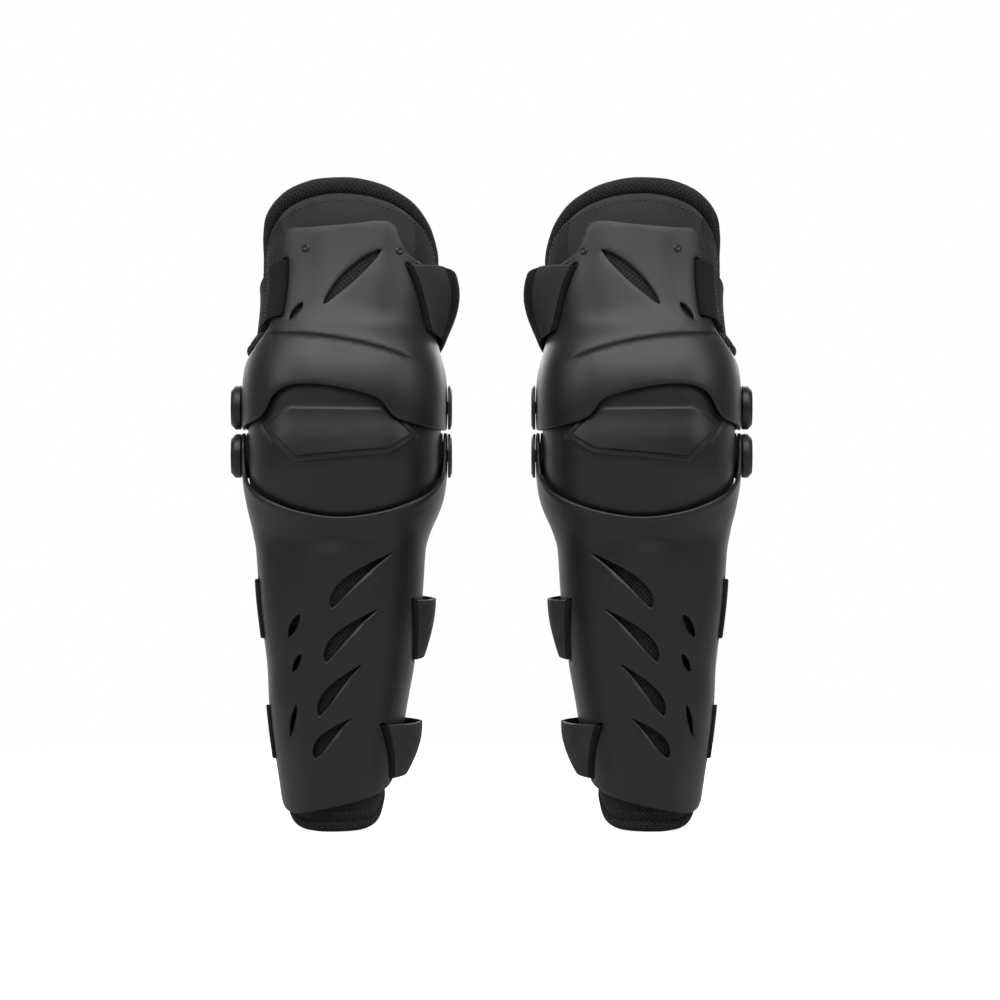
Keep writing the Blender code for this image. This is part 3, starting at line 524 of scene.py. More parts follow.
def panel(loop, height, bevel, top_share):
    """A raised panel inside a closed outline, with a bevelled edge, that is lower towards its top."""
    foot, top = loop[:, 1].min(), loop[:, 1].max()

    def raised(plan):
        distance = nearest(loop, plan)[0]
        share = 1 + (top_share - 1) * step(plan[:, 1], foot + 0.3 * (top - foot), top)
        return np.where(inside(loop, plan), height * share * step(distance, 0, bevel), 0)

    return raised


def moulding(skin, rim, holes, thickness, reliefs, creases=()):
    """A moulded wall with rounded edges, and with its reliefs pressed in it."""
    rim = wound(rim, 1)
    holes = [wound(hole, -1) for hole in holes]
    radius = EDGE_ROUNDING * thickness
    rings = [shifted(loop, radius * (1 - math.cos(angle * DEG)))
             for loop in (rim, *holes) for angle in (30, 60, 90)]
    plan, faces = triangulated(rim, holes, [*rings, *creases], SHELL_STEP)
    edge = np.min([nearest(loop, plan)[0] for loop in (rim, *holes)], 0)
    rounding = radius - np.sqrt(radius ** 2 - np.maximum(radius - edge, 0) ** 2)
    raised = sum(relief(plan) for relief in reliefs)
    return wall(skin, plan, faces, rounding - raised, thickness - rounding - raised)


# Straps

def strap_bars():
    """Straps by name: turns of their bars and of the edges they fold round, heights, depth behind, slack."""
    return {
        "thigh": dict(skin=THIGH, outer=(-38, -38), inner=(36, 57), outer_edge=45, inner_edge=(51, 70),
                      centres=(76 * MM, 71 * MM), width=46 * MM, back=66 * MM,
                      slack=(17 * MM, 15 * MM, 2 * MM), overlap=75),
        "upper_calf": dict(skin=SHIN, outer=(-77, -77), inner=(62, 76), outer_edge=92, inner_edge=(92, 92),
                           centres=(-139 * MM, -156 * MM), width=46 * MM, back=62 * MM,
                           slack=(8 * MM, 8 * MM, 4 * MM), overlap=62),
        "lower_calf": dict(skin=SHIN, outer=(-77, -77), inner=(40, 64), outer_edge=92, inner_edge=(92, 92),
                           centres=(-236 * MM, -251 * MM), width=42 * MM, back=50 * MM,
                           slack=(11 * MM, 12 * MM, 6 * MM), overlap=62),
    }


def slot(strap, side):
    """The slot beside a strap's bar, on the outer or the inner side, with rounded ends."""
    skin = strap["skin"]
    centre = strap["centres"][0 if side == "outer" else 1]
    reach_out = strap["width"] / 2 + SLOT_END
    opening = STRAP_FOLD / 2 + STRAP_THICKNESS / 2 + SLOT_CLEARANCE
    upper, lower = strap[side]
    slope = (upper - lower) / strap["width"]
    loop = []
    for sign in (1, -1):
        height = centre + sign * reach_out
        bar = ((upper + lower) / 2 + slope * sign * reach_out) * DEG
        ahead = bar - math.copysign(opening / skin.reach(np.float64(bar), height), bar)
        loop += [(bar * UNROLL, height), (ahead * UNROLL, height)][::sign]
    dense = spread(np.array(loop), SLOT_STEP)
    return spread(softened(dense, 3), EDGE_STEP * 0.6)


def strap_line(strap, side):
    """Stops of one line of a strap, as turns and lifts, from its upper (+1) to its lower (-1) edge."""
    def between(pair):
        return pair[0] + (pair[1] - pair[0]) * (1 - side) / 2

    outer_bar, inner_bar = between(strap["outer"]), between(strap["inner"]) - 360
    outer_edge, inner_edge = -strap["outer_edge"], between(strap["inner_edge"]) - 360
    settling = STRAP_STACK + 0.25 * (STRAP_FOLD - STRAP_STACK)
    # Sewn back on itself at the outer edge, round the outer bar, behind the leg and round the inner bar
    stops = [(outer_edge - 15, STRAP_STACK), (outer_edge - 9, settling), (outer_edge - 2, STRAP_FOLD),
             ((outer_edge + outer_bar) / 2, STRAP_FOLD)]
    stops += fold(strap, outer_bar, side, 1)
    stops += [(turn, 0) for turn in np.linspace(outer_bar, inner_bar, 24)[1:-1]]
    stops += fold(strap, inner_bar, side, -1)
    # From the slot to the inner edge with some slack, and down on the strap below
    upper, middle, lower = strap["slack"]
    slack = middle + (upper - lower) / 2 * side + ((upper + lower) / 2 - middle) * side ** 2
    longest = strap["inner_edge"][0] - strap["inner"][0]
    for share in np.linspace(0, 1, 1 + math.ceil(longest / 9))[1:]:
        turn = inner_bar + (inner_edge + 2 - inner_bar) * share
        stops.append((turn, STRAP_FOLD + slack * math.sin(share * math.pi / 2)))
    for turn, share in ((12, 0.75), (24, 0.3), (36, 0.05)):
        stops.append((inner_edge + turn, STRAP_STACK + (STRAP_FOLD - STRAP_STACK + slack) * share))
    stops += [(inner_edge + turn, STRAP_STACK) for turn in np.linspace(46, strap["overlap"], 3)]
    return np.array(stops)


def fold(strap, bar, side, ahead):
    """Stops of a strap's half turn round its outer bar, going in (+1), or its inner bar, coming out (-1)."""
    height = strap["centres"][0 if ahead > 0 else 1] + side * strap["width"] / 2
    radius = STRAP_FOLD / 2
    swing = radius / strap["skin"].reach(np.float64(bar * DEG), height) / DEG
    return [(bar + ahead * swing * math.sin(a), radius * (1 + ahead * math.cos(a)))
            for a in np.linspace(0, math.pi, 5)]


def strap_points(strap, stops, side, lift):
    """Points of one line of a strap, lifted off the leg."""
    turn = stops[:, 0] * DEG
    first, last = strap["centres"]
    start, stop = strap["outer"][0], max(strap["inner"]) - 360
    share = np.clip((stops[:, 0] - start) / (stop - start), 0, 1)
    height = first + (last - first) * share + side * strap["width"] / 2
    wrapped = (turn + math.pi) % (2 * math.pi) - math.pi

    def loop(angle):
        front = np.clip(angle, -math.pi / 2, math.pi / 2)
        ahead = strap["skin"].point(front, height, STRAP_INNER_DEPTH, True)
        centre = strap["skin"].shift(height)
        reach = oval(angle, np.abs(ahead[:, 0] - centre), strap["back"])
        behind = np.stack([centre + reach * np.sin(angle), -reach * np.cos(angle), height], -1)
        return np.where((np.abs(angle) > math.pi / 2)[:, None], behind, ahead)

    near = 0.2 * DEG
    run = loop(wrapped + near) - loop(wrapped - near)
    outward = unit(np.stack([run[:, 1], -run[:, 0], 0 * height], -1))
    return loop(wrapped) + (stops[:, 1] + lift)[:, None] * outward


def flowing(path, fineness):
    """A smooth line through points, with this many points to a stretch."""
    before = np.vstack([2 * path[:1] - path[1:2], path[:-1]])
    after = np.vstack([path[1:], 2 * path[-1:] - path[-2:-1]])
    chord = np.linalg.norm(np.diff(path, axis=0), axis=1)
    pace = np.concatenate([chord[:1], chord]) + np.concatenate([chord, chord[-1:]])
    slope = (after - before) / pace[:, None]
    t = np.linspace(0, 1, fineness, endpoint=False)[None, :, None]
    a, b, span = path[:-1, None], path[1:, None], chord[:, None, None]
    curve = a * (1 + 2 * t) * (1 - t) ** 2 + b * t * t * (3 - 2 * t)
    curve = curve + span * (slope[:-1, None] * t * (1 - t) ** 2 - slope[1:, None] * t * t * (1 - t))
    return np.vstack([curve.reshape(-1, 3), path[-1:]])


def woven_band(strap, thickness, stops_for, lift=0.0, ribs=False, part=slice(None)):
    """A ribbon with rounded selvedges along a strap's path, with its places, and its outer face."""
    half = strap["width"] / 2
    corner = thickness / 2
    across = [-1 + corner / half * (1 - math.cos(a * DEG)) for a in (0, 30, 60, 90)]
    across = np.array(across + list(np.linspace(across[-1], 0, 6)[1:]))
    across = np.concatenate([across, -across[-2::-1]])
    from_edge = np.minimum((1 - np.abs(across)) * half, corner)
    thick = np.sqrt(corner ** 2 - (corner - from_edge) ** 2)
    outer, inner = [], []
    for side, swell in zip(across, thick):
        path = flowing(strap_points(strap, stops_for(-side), -side, lift), STRAP_FINENESS)[part]
        run = np.gradient(path, axis=0)
        away = np.stack([run[:, 1], -run[:, 0], 0 * run[:, 0]], -1)
        away *= max(swell, 0.12 * corner) / np.linalg.norm(away, axis=1, keepdims=True)
        grip = 1 + TAB_RIB * ribs * np.maximum(0, np.sin(np.linspace(-2, 5, len(path)) * math.pi))[:, None]
        outer.append(path + away * grip)
        inner.append(path - away)
    middle = (outer[len(across) // 2] + inner[len(across) // 2]) / 2
    places = np.concatenate([across, across[::-1]]) * half
    return (*loft(np.stack(outer + inner[::-1], 1)), ring_places(lengths(middle), places)), np.stack(outer, 1)


def ring_places(along, across):
    """Places of a body lofted from rings: one row of places across for each stop along."""
    return np.stack(np.broadcast_arrays(along[:, None], across[None, :]), -1).reshape(-1, 2)


def loft(rings):
    """A closed body through rings of points, with flat ends."""
    rows, sides, _ = rings.shape
    faces = [tuple(range(sides)), tuple(range(rows * sides - 1, rows * sides - sides - 1, -1))]
    for row in range(rows - 1):
        for side in range(sides):
            a, b = row * sides + side, row * sides + (side + 1) % sides
            faces.append((b, a, a + sides, b + sides))
    return rings.reshape(-1, 3), faces


def joined(bodies):
    """Several bodies as one."""
    starts = np.cumsum([0] + [len(points) for points, _ in bodies]).tolist()
    faces = [tuple(v + start for v in face) for start, (_, sides) in zip(starts, bodies) for face in sides]
    return np.vstack([points for points, _ in bodies]), faces


def turned(profile, closed=False):
    """A body turned round the X axis from (x, radius) points; one on the axis is its own ring."""
    points, rings = [], []
    for x, radius in profile:
        count = TURNED_SIDES if radius else 1
        rings.append([len(points) + k % count for k in range(TURNED_SIDES + 1)])
        angles = np.arange(count) * 2 * math.pi / TURNED_SIDES
        points += [(x, -radius * math.sin(a), radius * math.cos(a)) for a in angles]
    pairs = list(zip(rings, rings[1:])) + ([(rings[-1], rings[0])] if closed else [])
    # A face at the axis names its point there twice, and keeps it once
    faces = [tuple(dict.fromkeys((one[k], one[k + 1], other[k + 1], other[k])))
             for one, other in pairs for k in range(TURNED_SIDES)]
    return np.array(points), faces


# Pads

def strap_room(height):
    """Depth under the shells that a pad keeps free for the straps, down to the last strap."""
    room = PAD_EDGE_DEPTH - PAD_FACE_DEPTH
    return room * step(height, STRAP_ROOM_FOOT - STRAP_ROOM_FADE, STRAP_ROOM_FOOT)


def roll_depth(height, radius):
    """Depth of the middle line of a rolled edge."""
    return PAD_FACE_DEPTH + strap_room(height) + radius


def roll_stretch(skin, path, radius):
    """How far the unrolled plane stretches the middle line of a rolled edge."""
    return UNROLL / (skin.reach(path[:, 0] / UNROLL, path[:, 1]) - roll_depth(path[:, 1], radius))


def arch(side_turn, foot, spring, rise, power, steps=30):
    """A path up one side, over an arch and down the other side, on the unrolled plane."""
    t = np.sin(np.linspace(0, math.pi / 2, steps))
    turns = side_turn * DEG * UNROLL * (1 - t ** power) ** (1 / power)
    heights = spring + rise * t
    straight = np.linspace(foot, spring, 14)[:-1]
    side = np.vstack([np.stack([0 * straight + turns[0], straight], -1), np.stack([turns, heights], -1)])
    return np.vstack([side, (side * (-1, 1))[-2::-1]])


def clear_foot(depth, radius):
    """How far from an axis a pad of this front depth clears the turning knee cup."""
    inner = depth - PAD_FACE_DEPTH - PAD_THICKNESS
    return math.sqrt((radius + PAD_CUP_CLEARANCE) ** 2 - inner ** 2)


def pad_block(skin, rim, face_depth, room, level, dive=0.0):
    """The foam under a pad's cover, thinner than the pad and diving under a rolled edge, and its rim."""
    rim = wound(spread(rim, PAD_STEP * 0.8), 1)
    plan, faces = triangulated(rim, [], [shifted(rim, PAD_RIM_RING)], PAD_STEP)
    turn, height = plan[:, 0] / UNROLL, plan[:, 1]
    edge = nearest(rim, plan)[0]
    drop = step(np.abs(turn), PAD_DROP_TURN, PAD_DROP_TURN + PAD_DROP_FADE)
    face = face_depth + room(height) * drop
    falling = (1 - drop) * (1 - step(edge, 0, PAD_FALL_BAND)) * (dive > 0)
    sunk = dive * (1 - step(edge, 0, PAD_DIVE_BAND)) + room(height) * falling
    crown = PAD_EDGE_SHARE + (1 - PAD_EDGE_SHARE) * step(edge, 0, PAD_EDGE_BAND)
    rounding = PAD_ROUNDING * (1 - step(edge, 0, PAD_ROUNDING_BAND))
    inner = face + np.maximum(PAD_THICKNESS * crown, sunk + PAD_RIM * (dive > 0))
    slack = COVER_GAP + COVER_SLACK * step(edge, COVER_SLACK_START, PAD_EDGE_BAND)
    mesh = wall(skin, plan, faces, face + sunk + COVER_GAP + rounding, inner - slack - rounding, level)
    return mesh, np.tile(edge < 0.1 * MM, 2)


def swollen(name, block, skin):
    """A pad swollen under its cover: a short cloth run with air pressure, sewn at the rim."""
    (before, faces), rim = block
    data = bpy.data.meshes.new(name)
    data.from_pydata(before.tolist(), [], faces)
    shape = bpy.data.objects.new(name, data)
    bpy.context.scene.collection.objects.link(shape)
    sewn = shape.vertex_groups.new(name="sewn")
    sewn.add(np.flatnonzero(rim).tolist(), 1.0, "REPLACE")
    cloth = shape.modifiers.new("swell", "CLOTH")
    cloth.settings.quality = 6
    cloth.settings.vertex_group_mass = "sewn"
    cloth.settings.use_pressure = True
    cloth.settings.uniform_pressure_force = 4
    cloth.settings.effector_weights.gravity = 0
    cloth.settings.tension_stiffness = 12
    cloth.settings.compression_stiffness = 12
    cloth.settings.bending_stiffness = 0.6
    cloth.collision_settings.use_collision = False
    cloth.point_cache.frame_start = 1
    cloth.point_cache.frame_end = SWELL_FRAMES
    for number in range(1, SWELL_FRAMES + 1):
        bpy.context.scene.frame_set(number)
        bpy.context.view_layer.update()
    settle(shape)
    bpy.context.scene.frame_set(1)
    points = before + held_back(before, coordinates(shape.data) - before, skin)
    shape.data.vertices.foreach_set("co", points.astype(np.float32).ravel())
    smooth = shape.modifiers.new("smooth", "SUBSURF")
    smooth.levels = 1
    smooth.render_levels = 1
    settle(shape)
    points, faces = coordinates(shape.data), [tuple(f.vertices) for f in shape.data.polygons]
    data = shape.data
    bpy.data.objects.remove(shape)
    bpy.data.meshes.remove(data)
    return points, faces


def settle(shape):
    """Applies an object's modifiers to its mesh."""
    seen = shape.evaluated_get(bpy.context.evaluated_depsgraph_get())
    made = bpy.data.meshes.new_from_object(seen)
    shape.modifiers.clear()
    old = shape.data
    shape.data = made
    bpy.data.meshes.remove(old)


def coordinates(data):
    """Points of a mesh."""
    points = np.zeros(len(data.vertices) * 3, np.float32)
    data.vertices.foreach_get("co", points)
    return points.reshape(-1, 3).astype(float)


def held_back(points, moved, skin):
    """How far each point of a cover may swell: little towards the shell, more towards the leg."""
    plan = skin.plan(points)
    out = skin.outward(plan[:, 0] / UNROLL, plan[:, 1])
    towards = (moved * out).sum(1)
    along = moved - towards[:, None] * out
    length = np.linalg.norm(along, axis=1, keepdims=True)
    along *= np.minimum(1, SWELL_ALONG / np.maximum(length, 1e-9))
    return along + np.clip(towards, -SWELL_TO_LEG, SWELL_TO_SHELL)[:, None] * out


def quilted(mesh, skin, lines):
    """A pad with sewn channels on the side of the leg, and how far each point belongs to that side."""
    points, faces = mesh
    plan = skin.plan(points)
    out = skin.outward(plan[:, 0] / UNROLL, plan[:, 1])
    normals = np.zeros_like(points)
    corners = np.array([f[:4] if len(f) > 3 else (*f, f[0]) for f in faces])
    first, second, third, fourth = (points[corners[:, k]] for k in range(4))
    facing = np.cross(third - first, fourth - second)
    for k in range(4):
        np.add.at(normals, corners[:, k], facing)
    normals /= np.maximum(np.linalg.norm(normals, axis=1, keepdims=True), 1e-12)
    lining = step(-(normals * out).sum(1), 0.2, 0.7)
    for line in lines:
        distance = nearest(spread(line, 3 * MM, closed=False), plan, closed=False)[0]
        pressed = lining * CHANNEL_DEPTH * np.exp(-(distance / CHANNEL_WIDTH) ** 2)
        points = points + pressed[:, None] * out
    return points, faces, lining


def turned_in(path):
    """The path of a rolled edge whose two ends turn in and lie along the foot of the pad."""
    side, foot = path[0]
    angles = np.linspace(0, math.pi / 2, 5)
    corner = np.stack([side - ROLL_BEND + ROLL_BEND * np.cos(angles),
                       foot + 1.6 * ROLL_BEND - ROLL_BEND * np.sin(angles)], -1)
    along = corner[-1] + np.array([(-0.34, 0.02), (-0.67, 0.06), (-1.0, 0.12)]) * ROLL_RUN
    start = np.vstack([corner, along])[::-1]
    middle = path[path[:, 1] > corner[0, 1] + 2 * MM]
    return np.vstack([start, middle, (start * (-1, 1))[::-1]])


def rolled_edge(skin, path, radius, taper=None):
    """The rolled edge of a pad: a stuffed tube of mesh fabric with small puckers, with its places."""
    centres = skin.point(path[:, 0] / UNROLL, path[:, 1], roll_depth(path[:, 1], radius), True)
    out = skin.outward(path[:, 0] / UNROLL, path[:, 1], True)
    fine = flowing(centres, 8)
    along = lengths(fine)
    stops = np.linspace(0, along[-1], round(along[-1] / ROLL_STEP))
    share = np.interp(stops, along, np.linspace(0, len(path) - 1, len(along)))
    out = at(share, np.arange(len(path)), out)
    centres = at(stops, along, fine)
    run = unit(np.gradient(centres, axis=0))
    out = unit(out - (out * run).sum(1, keepdims=True) * run)
    across = np.cross(run, out)
    from_end = np.minimum(stops, along[-1] - stops)
    ends = np.sqrt(1 - np.clip(1 - from_end / (taper or radius), 0, 0.995) ** 2)
    puckers = sum((rise * np.sin(stops / length + start) for rise, length, start in PUCKERS), 1)
    size = radius * ROLL_SIZE * ends * puckers
    angles = np.arange(ROLL_SIDES) * 2 * math.pi / ROLL_SIDES
    ring = [centres + size[:, None] * (math.cos(a) * out + math.sin(a) * across) for a in angles]
    return *loft(np.stack(ring, 1)), ring_places(stops, angles * radius)


def stitches(path, out, pitch, length, radius):
    """A row of thread stitches along a line of points on a cover."""
    along = lengths(path)
    angles = np.arange(6) * math.pi / 3
    rise = radius * np.array([-1.0, 0.35, 0.7, 0.35, -1.0])
    size = radius * np.array([0.5, 1, 1, 1, 0.5])
    bodies = []
    for start in np.arange(pitch, along[-1] - pitch, pitch):
        line = at(start + np.linspace(0, length, len(rise)), along, path)
        up = unit(at(start, along, out))
        side = np.cross(unit(line[-1] - line[0]), up)
        line = line + rise[:, None] * up
        rings = [line + size[:, None] * (math.cos(a) * up + math.sin(a) * side) for a in angles]
        bodies.append(loft(np.stack(rings, 1)))
    return joined(bodies)


# Shells

def strip(line, half_width):
    """A closed outline round an open line, at a distance on both sides."""
    return np.vstack([inset(line, half_width), inset(line, -half_width)[::-1]])


def mitred(loop, distance):
    """A closed clockwise outline moved inwards, with its corners kept sharp."""
    before, after = unit(loop - np.roll(loop, 1, 0)), unit(np.roll(loop, -1, 0) - loop)
    middle = sum(np.stack([run[:, 1], -run[:, 0]], -1) for run in (before, after))
    return loop + distance * 2 * middle / (middle ** 2).sum(1, keepdims=True)


def even_line(places, spacing=3 * MM):
    """A smooth open line through places, with evenly spread points."""
    path = unrolled(places)
    for _ in range(3):
        cut = np.stack([0.75 * path[:-1] + 0.25 * path[1:], 0.25 * path[:-1] + 0.75 * path[1:]], 1)
        path = np.vstack([path[:1], cut.reshape(-1, 2), path[-1:]])
    return spread(path, spacing, closed=False)


def thigh_shell(straps):
    """Skirt over the knee, ears at the upper axis, and a plate up the thigh with a leaf vent."""
    skirt = [(-66, -26), (-50, -29), (-43, -26), (-37, -16), (-31, -11), (-22, -9.5), (-8, -12), (8, -17),
             (20, -22), (24, -29), (28, -35), (40, -36.5), (66, -31)]
    inner = [(73, 29), (70, 46), (57, 74), (50, 98), (34, 101), (29, 114), (26, 125), (20, 129)]
    outer = [(2, 123), (-22, 122), (-33, 126), (-38, 122), (-40, 110), (-44, 102), (-45, 94), (-45, 58),
             (-45, 45), (-56, 32), (-73, 29)]
    round_ear = range(190, 331, 20)
    places = skirt + ear(THIGH, 0, EAR_RADIUS, round_ear, 1) + inner
    places += outer + ear(THIGH, 0, EAR_RADIUS, reversed(round_ear), -1)
    rim = spread(softened(unrolled(places)), EDGE_STEP)
    blade = spine((-11, 57), (-3, 86), (18, 103))
    nick = spine((-30, 47), (-26, 54), (-23, 60), 10)
    holes = [round_hole(THIGH, 0, 1), round_hole(THIGH, 0, -1), slot(straps["thigh"], "outer"),
             slot(straps["thigh"], "inner"), leaf(blade, 1.5 * MM, 7.5 * MM), leaf(nick, 2.5 * MM, 2.5 * MM)]
    crease = even_line([(-46, 41), (-38, 38), (-12, 30), (8, 24), (24, 18), (40, 12)])
    second = even_line([(-32, 23), (-10, 17), (20, 8)])
    reliefs = [ledge(crease, THIGH_LEDGE, 1.4 * MM, THIGH_LEDGE_FADE), bead(crease, -0.9 * MM, 1.0 * MM),
               bead(second, -0.5 * MM, 1.2 * MM, 0.3)]
    creases = [strip(crease, 0.5 * MM), strip(crease, 1.4 * MM), strip(second, 0.8 * MM)]
    return moulding(THIGH, rim, holes, SHELL_WALL, reliefs, creases)


def vent_backing(line, left, right):
    """Thin mesh fabric glued behind a vent of the thigh shell, with its places."""
    rim = wound(spread(leaf(line, left, right), EDGE_STEP), 1)
    plan, faces = triangulated(rim, [], [], SHELL_STEP)
    return *wall(THIGH, plan, faces, *BACKING_DEPTHS), np.tile(plan, (2, 1))


def cup_rim(share, widest):
    """Outline of the knee cup, or of its pad at a share of the cup's height."""
    top = CUP_REACH * math.sin(CUP_TOP_ANGLE) * share / MM
    foot = CUP_REACH * math.sin(CUP_FOOT_ANGLE) * share / MM
    up, down = UPPER_PIVOT / MM, LOWER_PIVOT / MM
    crown = ((0, 1), (0.46, 0.88), (0.77, 0.68), (1, 0.5))
    base = ((1, 0.49), (0.7, 0.71), (0.4, 0.9), (0, 1))
    return ([(turn * widest, up + top * part) for turn, part in crown],
            [(turn * widest, down - foot * part) for turn, part in base])


def knee_cup():
    """The barrel between the shells, with a brow across it and a six-sided panel in two steps."""
    crown, base = cup_rim(1, 65)
    upper = ear(CUP, UPPER_PIVOT, CUP_EAR_RADIUS, range(15, -91, -21), 1)
    lower = ear(CUP, LOWER_PIVOT, CUP_EAR_RADIUS, range(-90, -196, -21), 1)
    places = mirrored(crown + upper + lower + base, closed=True)
    rim = spread(softened(unrolled(places), 3), EDGE_STEP)
    holes = [round_hole(CUP, pivot, side) for pivot in (UPPER_PIVOT, LOWER_PIVOT) for side in (1, -1)]
    hexagon = unrolled([(-42, 4), (-27, 18), (22, 17), (37, -3), (23, -14), (-22, -20)])
    lower_step = mitred(hexagon, -4.5 * MM)
    reliefs = [panel(lower_step, 1.2 * MM, 0.9 * MM, 0), panel(hexagon, 1.4 * MM, 0.9 * MM, 0.4), brow]
    for loop in (mitred(hexagon, 1.6 * MM), mitred(lower_step, 1.6 * MM)):
        edge = spread(loop[[3, 4, 5, 0]], EDGE_STEP, closed=False)
        reliefs.append(bead(edge, 0.6 * MM, 1.1 * MM, 0.3))
    creases = [spread(mitred(hexagon, distance), EDGE_STEP) for distance in
               (-4.5 * MM, -4 * MM, -3.4 * MM, -2.4 * MM, 0.0, 0.5 * MM, 1.1 * MM, 2.1 * MM)]
    return moulding(CUP, rim, holes, CUP_WALL, reliefs, creases)


def brow(plan):
    """A swelling across the knee cup, fullest a little above its lower axis."""
    turn, height = plan[:, 0] / UNROLL, plan[:, 1]
    rise = step(height, UPPER_PIVOT, 0.8 * LOWER_PIVOT) * step(height, 3 * LOWER_PIVOT, LOWER_PIVOT)
    return KNEE_BROW * rise * (1 - step(np.abs(turn), 28 * DEG, 52 * DEG))


def shin_shell(straps):
    """Ears at the lower axis, a rim under the knee cup, and a ridged plate with gill vents."""
    rim_edge = [(72, -37), (56, -47), (40, -56), (24, -64), (0, -69)]
    rear = [(100, -50), (94, -85), (91, -120), (91, -255)]
    foot = [(84, -270), (64, -278), (35, -285), (4, -293), (-31, -300), (-62, -297), (-84, -284)]
    round_ear = range(-90, 91, 20)
    inner = rear[::-1] + ear(SHIN, LOWER_PIVOT, EAR_RADIUS, round_ear, 1) + rim_edge
    rim = spread(softened(unrolled(mirrored(inner) + foot[::-1])), EDGE_STEP)
    holes = [round_hole(SHIN, LOWER_PIVOT, 1), round_hole(SHIN, LOWER_PIVOT, -1)]
    for name in ("upper_calf", "lower_calf"):
        holes += [slot(straps[name], "outer"), slot(straps[name], "inner")]
    reliefs, creases = [], []
    gills = [((37, -95), (-4, -138)), ((27, -139), (-8, -180)), ((16, -182), (-11, -222)),
             ((11, -224), (-14, -255))]
    for (start_turn, start), (end_turn, end) in gills:
        corner = (end_turn + 3, end + 0.45 * (start - end))
        blade = spine((start_turn, start), corner, (end_turn, end))
        holes.append(leaf(blade, 4.6 * MM, 5 * MM, 1.5))
        lip = inset(blade, 7 * MM)[3:-3]
        reliefs.append(bead(lip, 1.9 * MM, 3.2 * MM, 0.3))
        creases += [strip(lip, 1 * MM), strip(lip, 2.6 * MM)]
    nicks = [((-26, -143), (-37, -161), 3.5), ((-26, -174), (-34, -188), 3), ((-29, -213), (-37, -239), 3)]
    for start, end, half in nicks:
        middle = ((start[0] + end[0]) / 2, (start[1] + end[1]) / 2)
        holes.append(leaf(spine(start, middle, end, 12), half * MM, half * MM))
    lip = even_line(mirrored([(-70, -41), (-56, -51), (-40, -60), (-24, -68), (0, -73)]))
    reliefs.append(bead(lip, 0.6 * MM, 2.4 * MM, 0.15))
    creases += [strip(lip, 1 * MM), strip(lip, 2.4 * MM)]

    def knuckle(plan):
        """A low swelling at the top of the ridge."""
        away = (plan - unrolled([(-3, -97)])[0]) / (16 * MM, 11 * MM)
        return 2.2 * MM * np.exp(-(away ** 2).sum(1))

    reliefs.append(knuckle)
    return moulding(SHIN, rim, holes, SHELL_WALL, reliefs, creases)


# Turned pieces

def rivet():
    """A rivet from its inner head to its outer head, with softened rims."""
    inner = CUP_HALF_WIDTH - CUP_WALL - RIVET_SEAT
    outer = SHELL_HALF_WIDTH + CAP_SEAT
    head, back = RIVET_HEAD_RADIUS, RIVET_HEAD_HEIGHT
    return turned([(inner - back, 0), (inner - back, 0.5 * head), (inner - 0.9 * back, 0.55 * head),
                   (inner - 0.9 * back, 0.8 * head), (inner - 0.55 * back, 0.96 * head),
                   (inner - 0.2 * back, head), (inner, 0.98 * head), (inner, RIVET_RADIUS),
                   (outer, RIVET_RADIUS), (outer, head), (outer + back, 0.8 * head), (outer + back, 0)])


def washer():
    """A washer in the gap between the cup and a shell's ear."""
    near = CUP_HALF_WIDTH + WASHER_CLEARANCE
    far = CUP_HALF_WIDTH + SLIDE_GAP - WASHER_CLEARANCE
    bore = RIVET_RADIUS + RIVET_CLEARANCE
    return turned([(near, bore), (near, WASHER_RADIUS), (far, WASHER_RADIUS), (far, bore)], closed=True)


def dust_ring():
    """A felt ring round a washer, that fills the gap between the cup and an ear."""
    radii = np.linspace(WASHER_RADIUS + 0.5 * MM, 0.97 * EAR_RADIUS, 5)

    def barrel_end(half_width, reach):
        return half_width * (1 - (radii / reach) ** SQUARENESS) ** (1 / SQUARENESS)

    near = barrel_end(CUP_HALF_WIDTH, CUP_REACH) + DUST_RING_CLEARANCE
    far = barrel_end(SHELL_HALF_WIDTH, SHELL_REACH) - SHELL_WALL - DUST_RING_CLEARANCE
    return turned(list(zip(near, radii)) + list(zip(far, radii))[::-1], closed=True)


def cap(height):
    """A cap over a rivet head: a bevelled rim, a ring groove and a shallow dish."""
    base = SHELL_HALF_WIDTH + CAP_SEAT
    roof = base + RIVET_HEAD_HEIGHT + CAP_RECESS_CLEARANCE
    bore = RIVET_HEAD_RADIUS + CAP_RECESS_CLEARANCE
    top = base + height
    size = CAP_RADIUS
    groove = min(0.9 * MM, 0.3 * height)
    return turned([(roof, 0), (roof, bore), (base, bore), (base, 0.97 * size), (base + 0.08 * height, size),
                   (top - 0.47 * height, size), (top - 0.38 * height, 0.985 * size),
                   (top - 0.06 * height, 0.82 * size), (top, 0.79 * size), (top, 0.66 * size),
                   (top - groove, 0.64 * size), (top - groove, 0.56 * size),
                   (top - 0.05 * height, 0.54 * size), (top - 0.05 * height, 0.3 * size),
                   (top - 0.1 * height, 0.15 * size), (top - 0.1 * height, 0)])


def stud(skin, turn, height):
    """A small domed stud that holds a pad to its shell."""
    points, faces = turned([(-2.0 * MM, 0), (-2.0 * MM, 3.2 * MM), (0.2 * MM, 3.4 * MM), (0.8 * MM, 3.0 * MM),
                            (1.1 * MM, 2.0 * MM), (0.7 * MM, 1.6 * MM), (0.6 * MM, 0)])
    turn, height = np.float64(turn * DEG), np.float64(height * MM)
    out = skin.outward(turn, height)
    side = unit(np.cross((0, 0, 1), out))
    up = np.cross(out, side)
    return skin.point(turn, height) + points[:, :1] * out + points[:, 1:2] * side + points[:, 2:] * up, faces


# Finishes

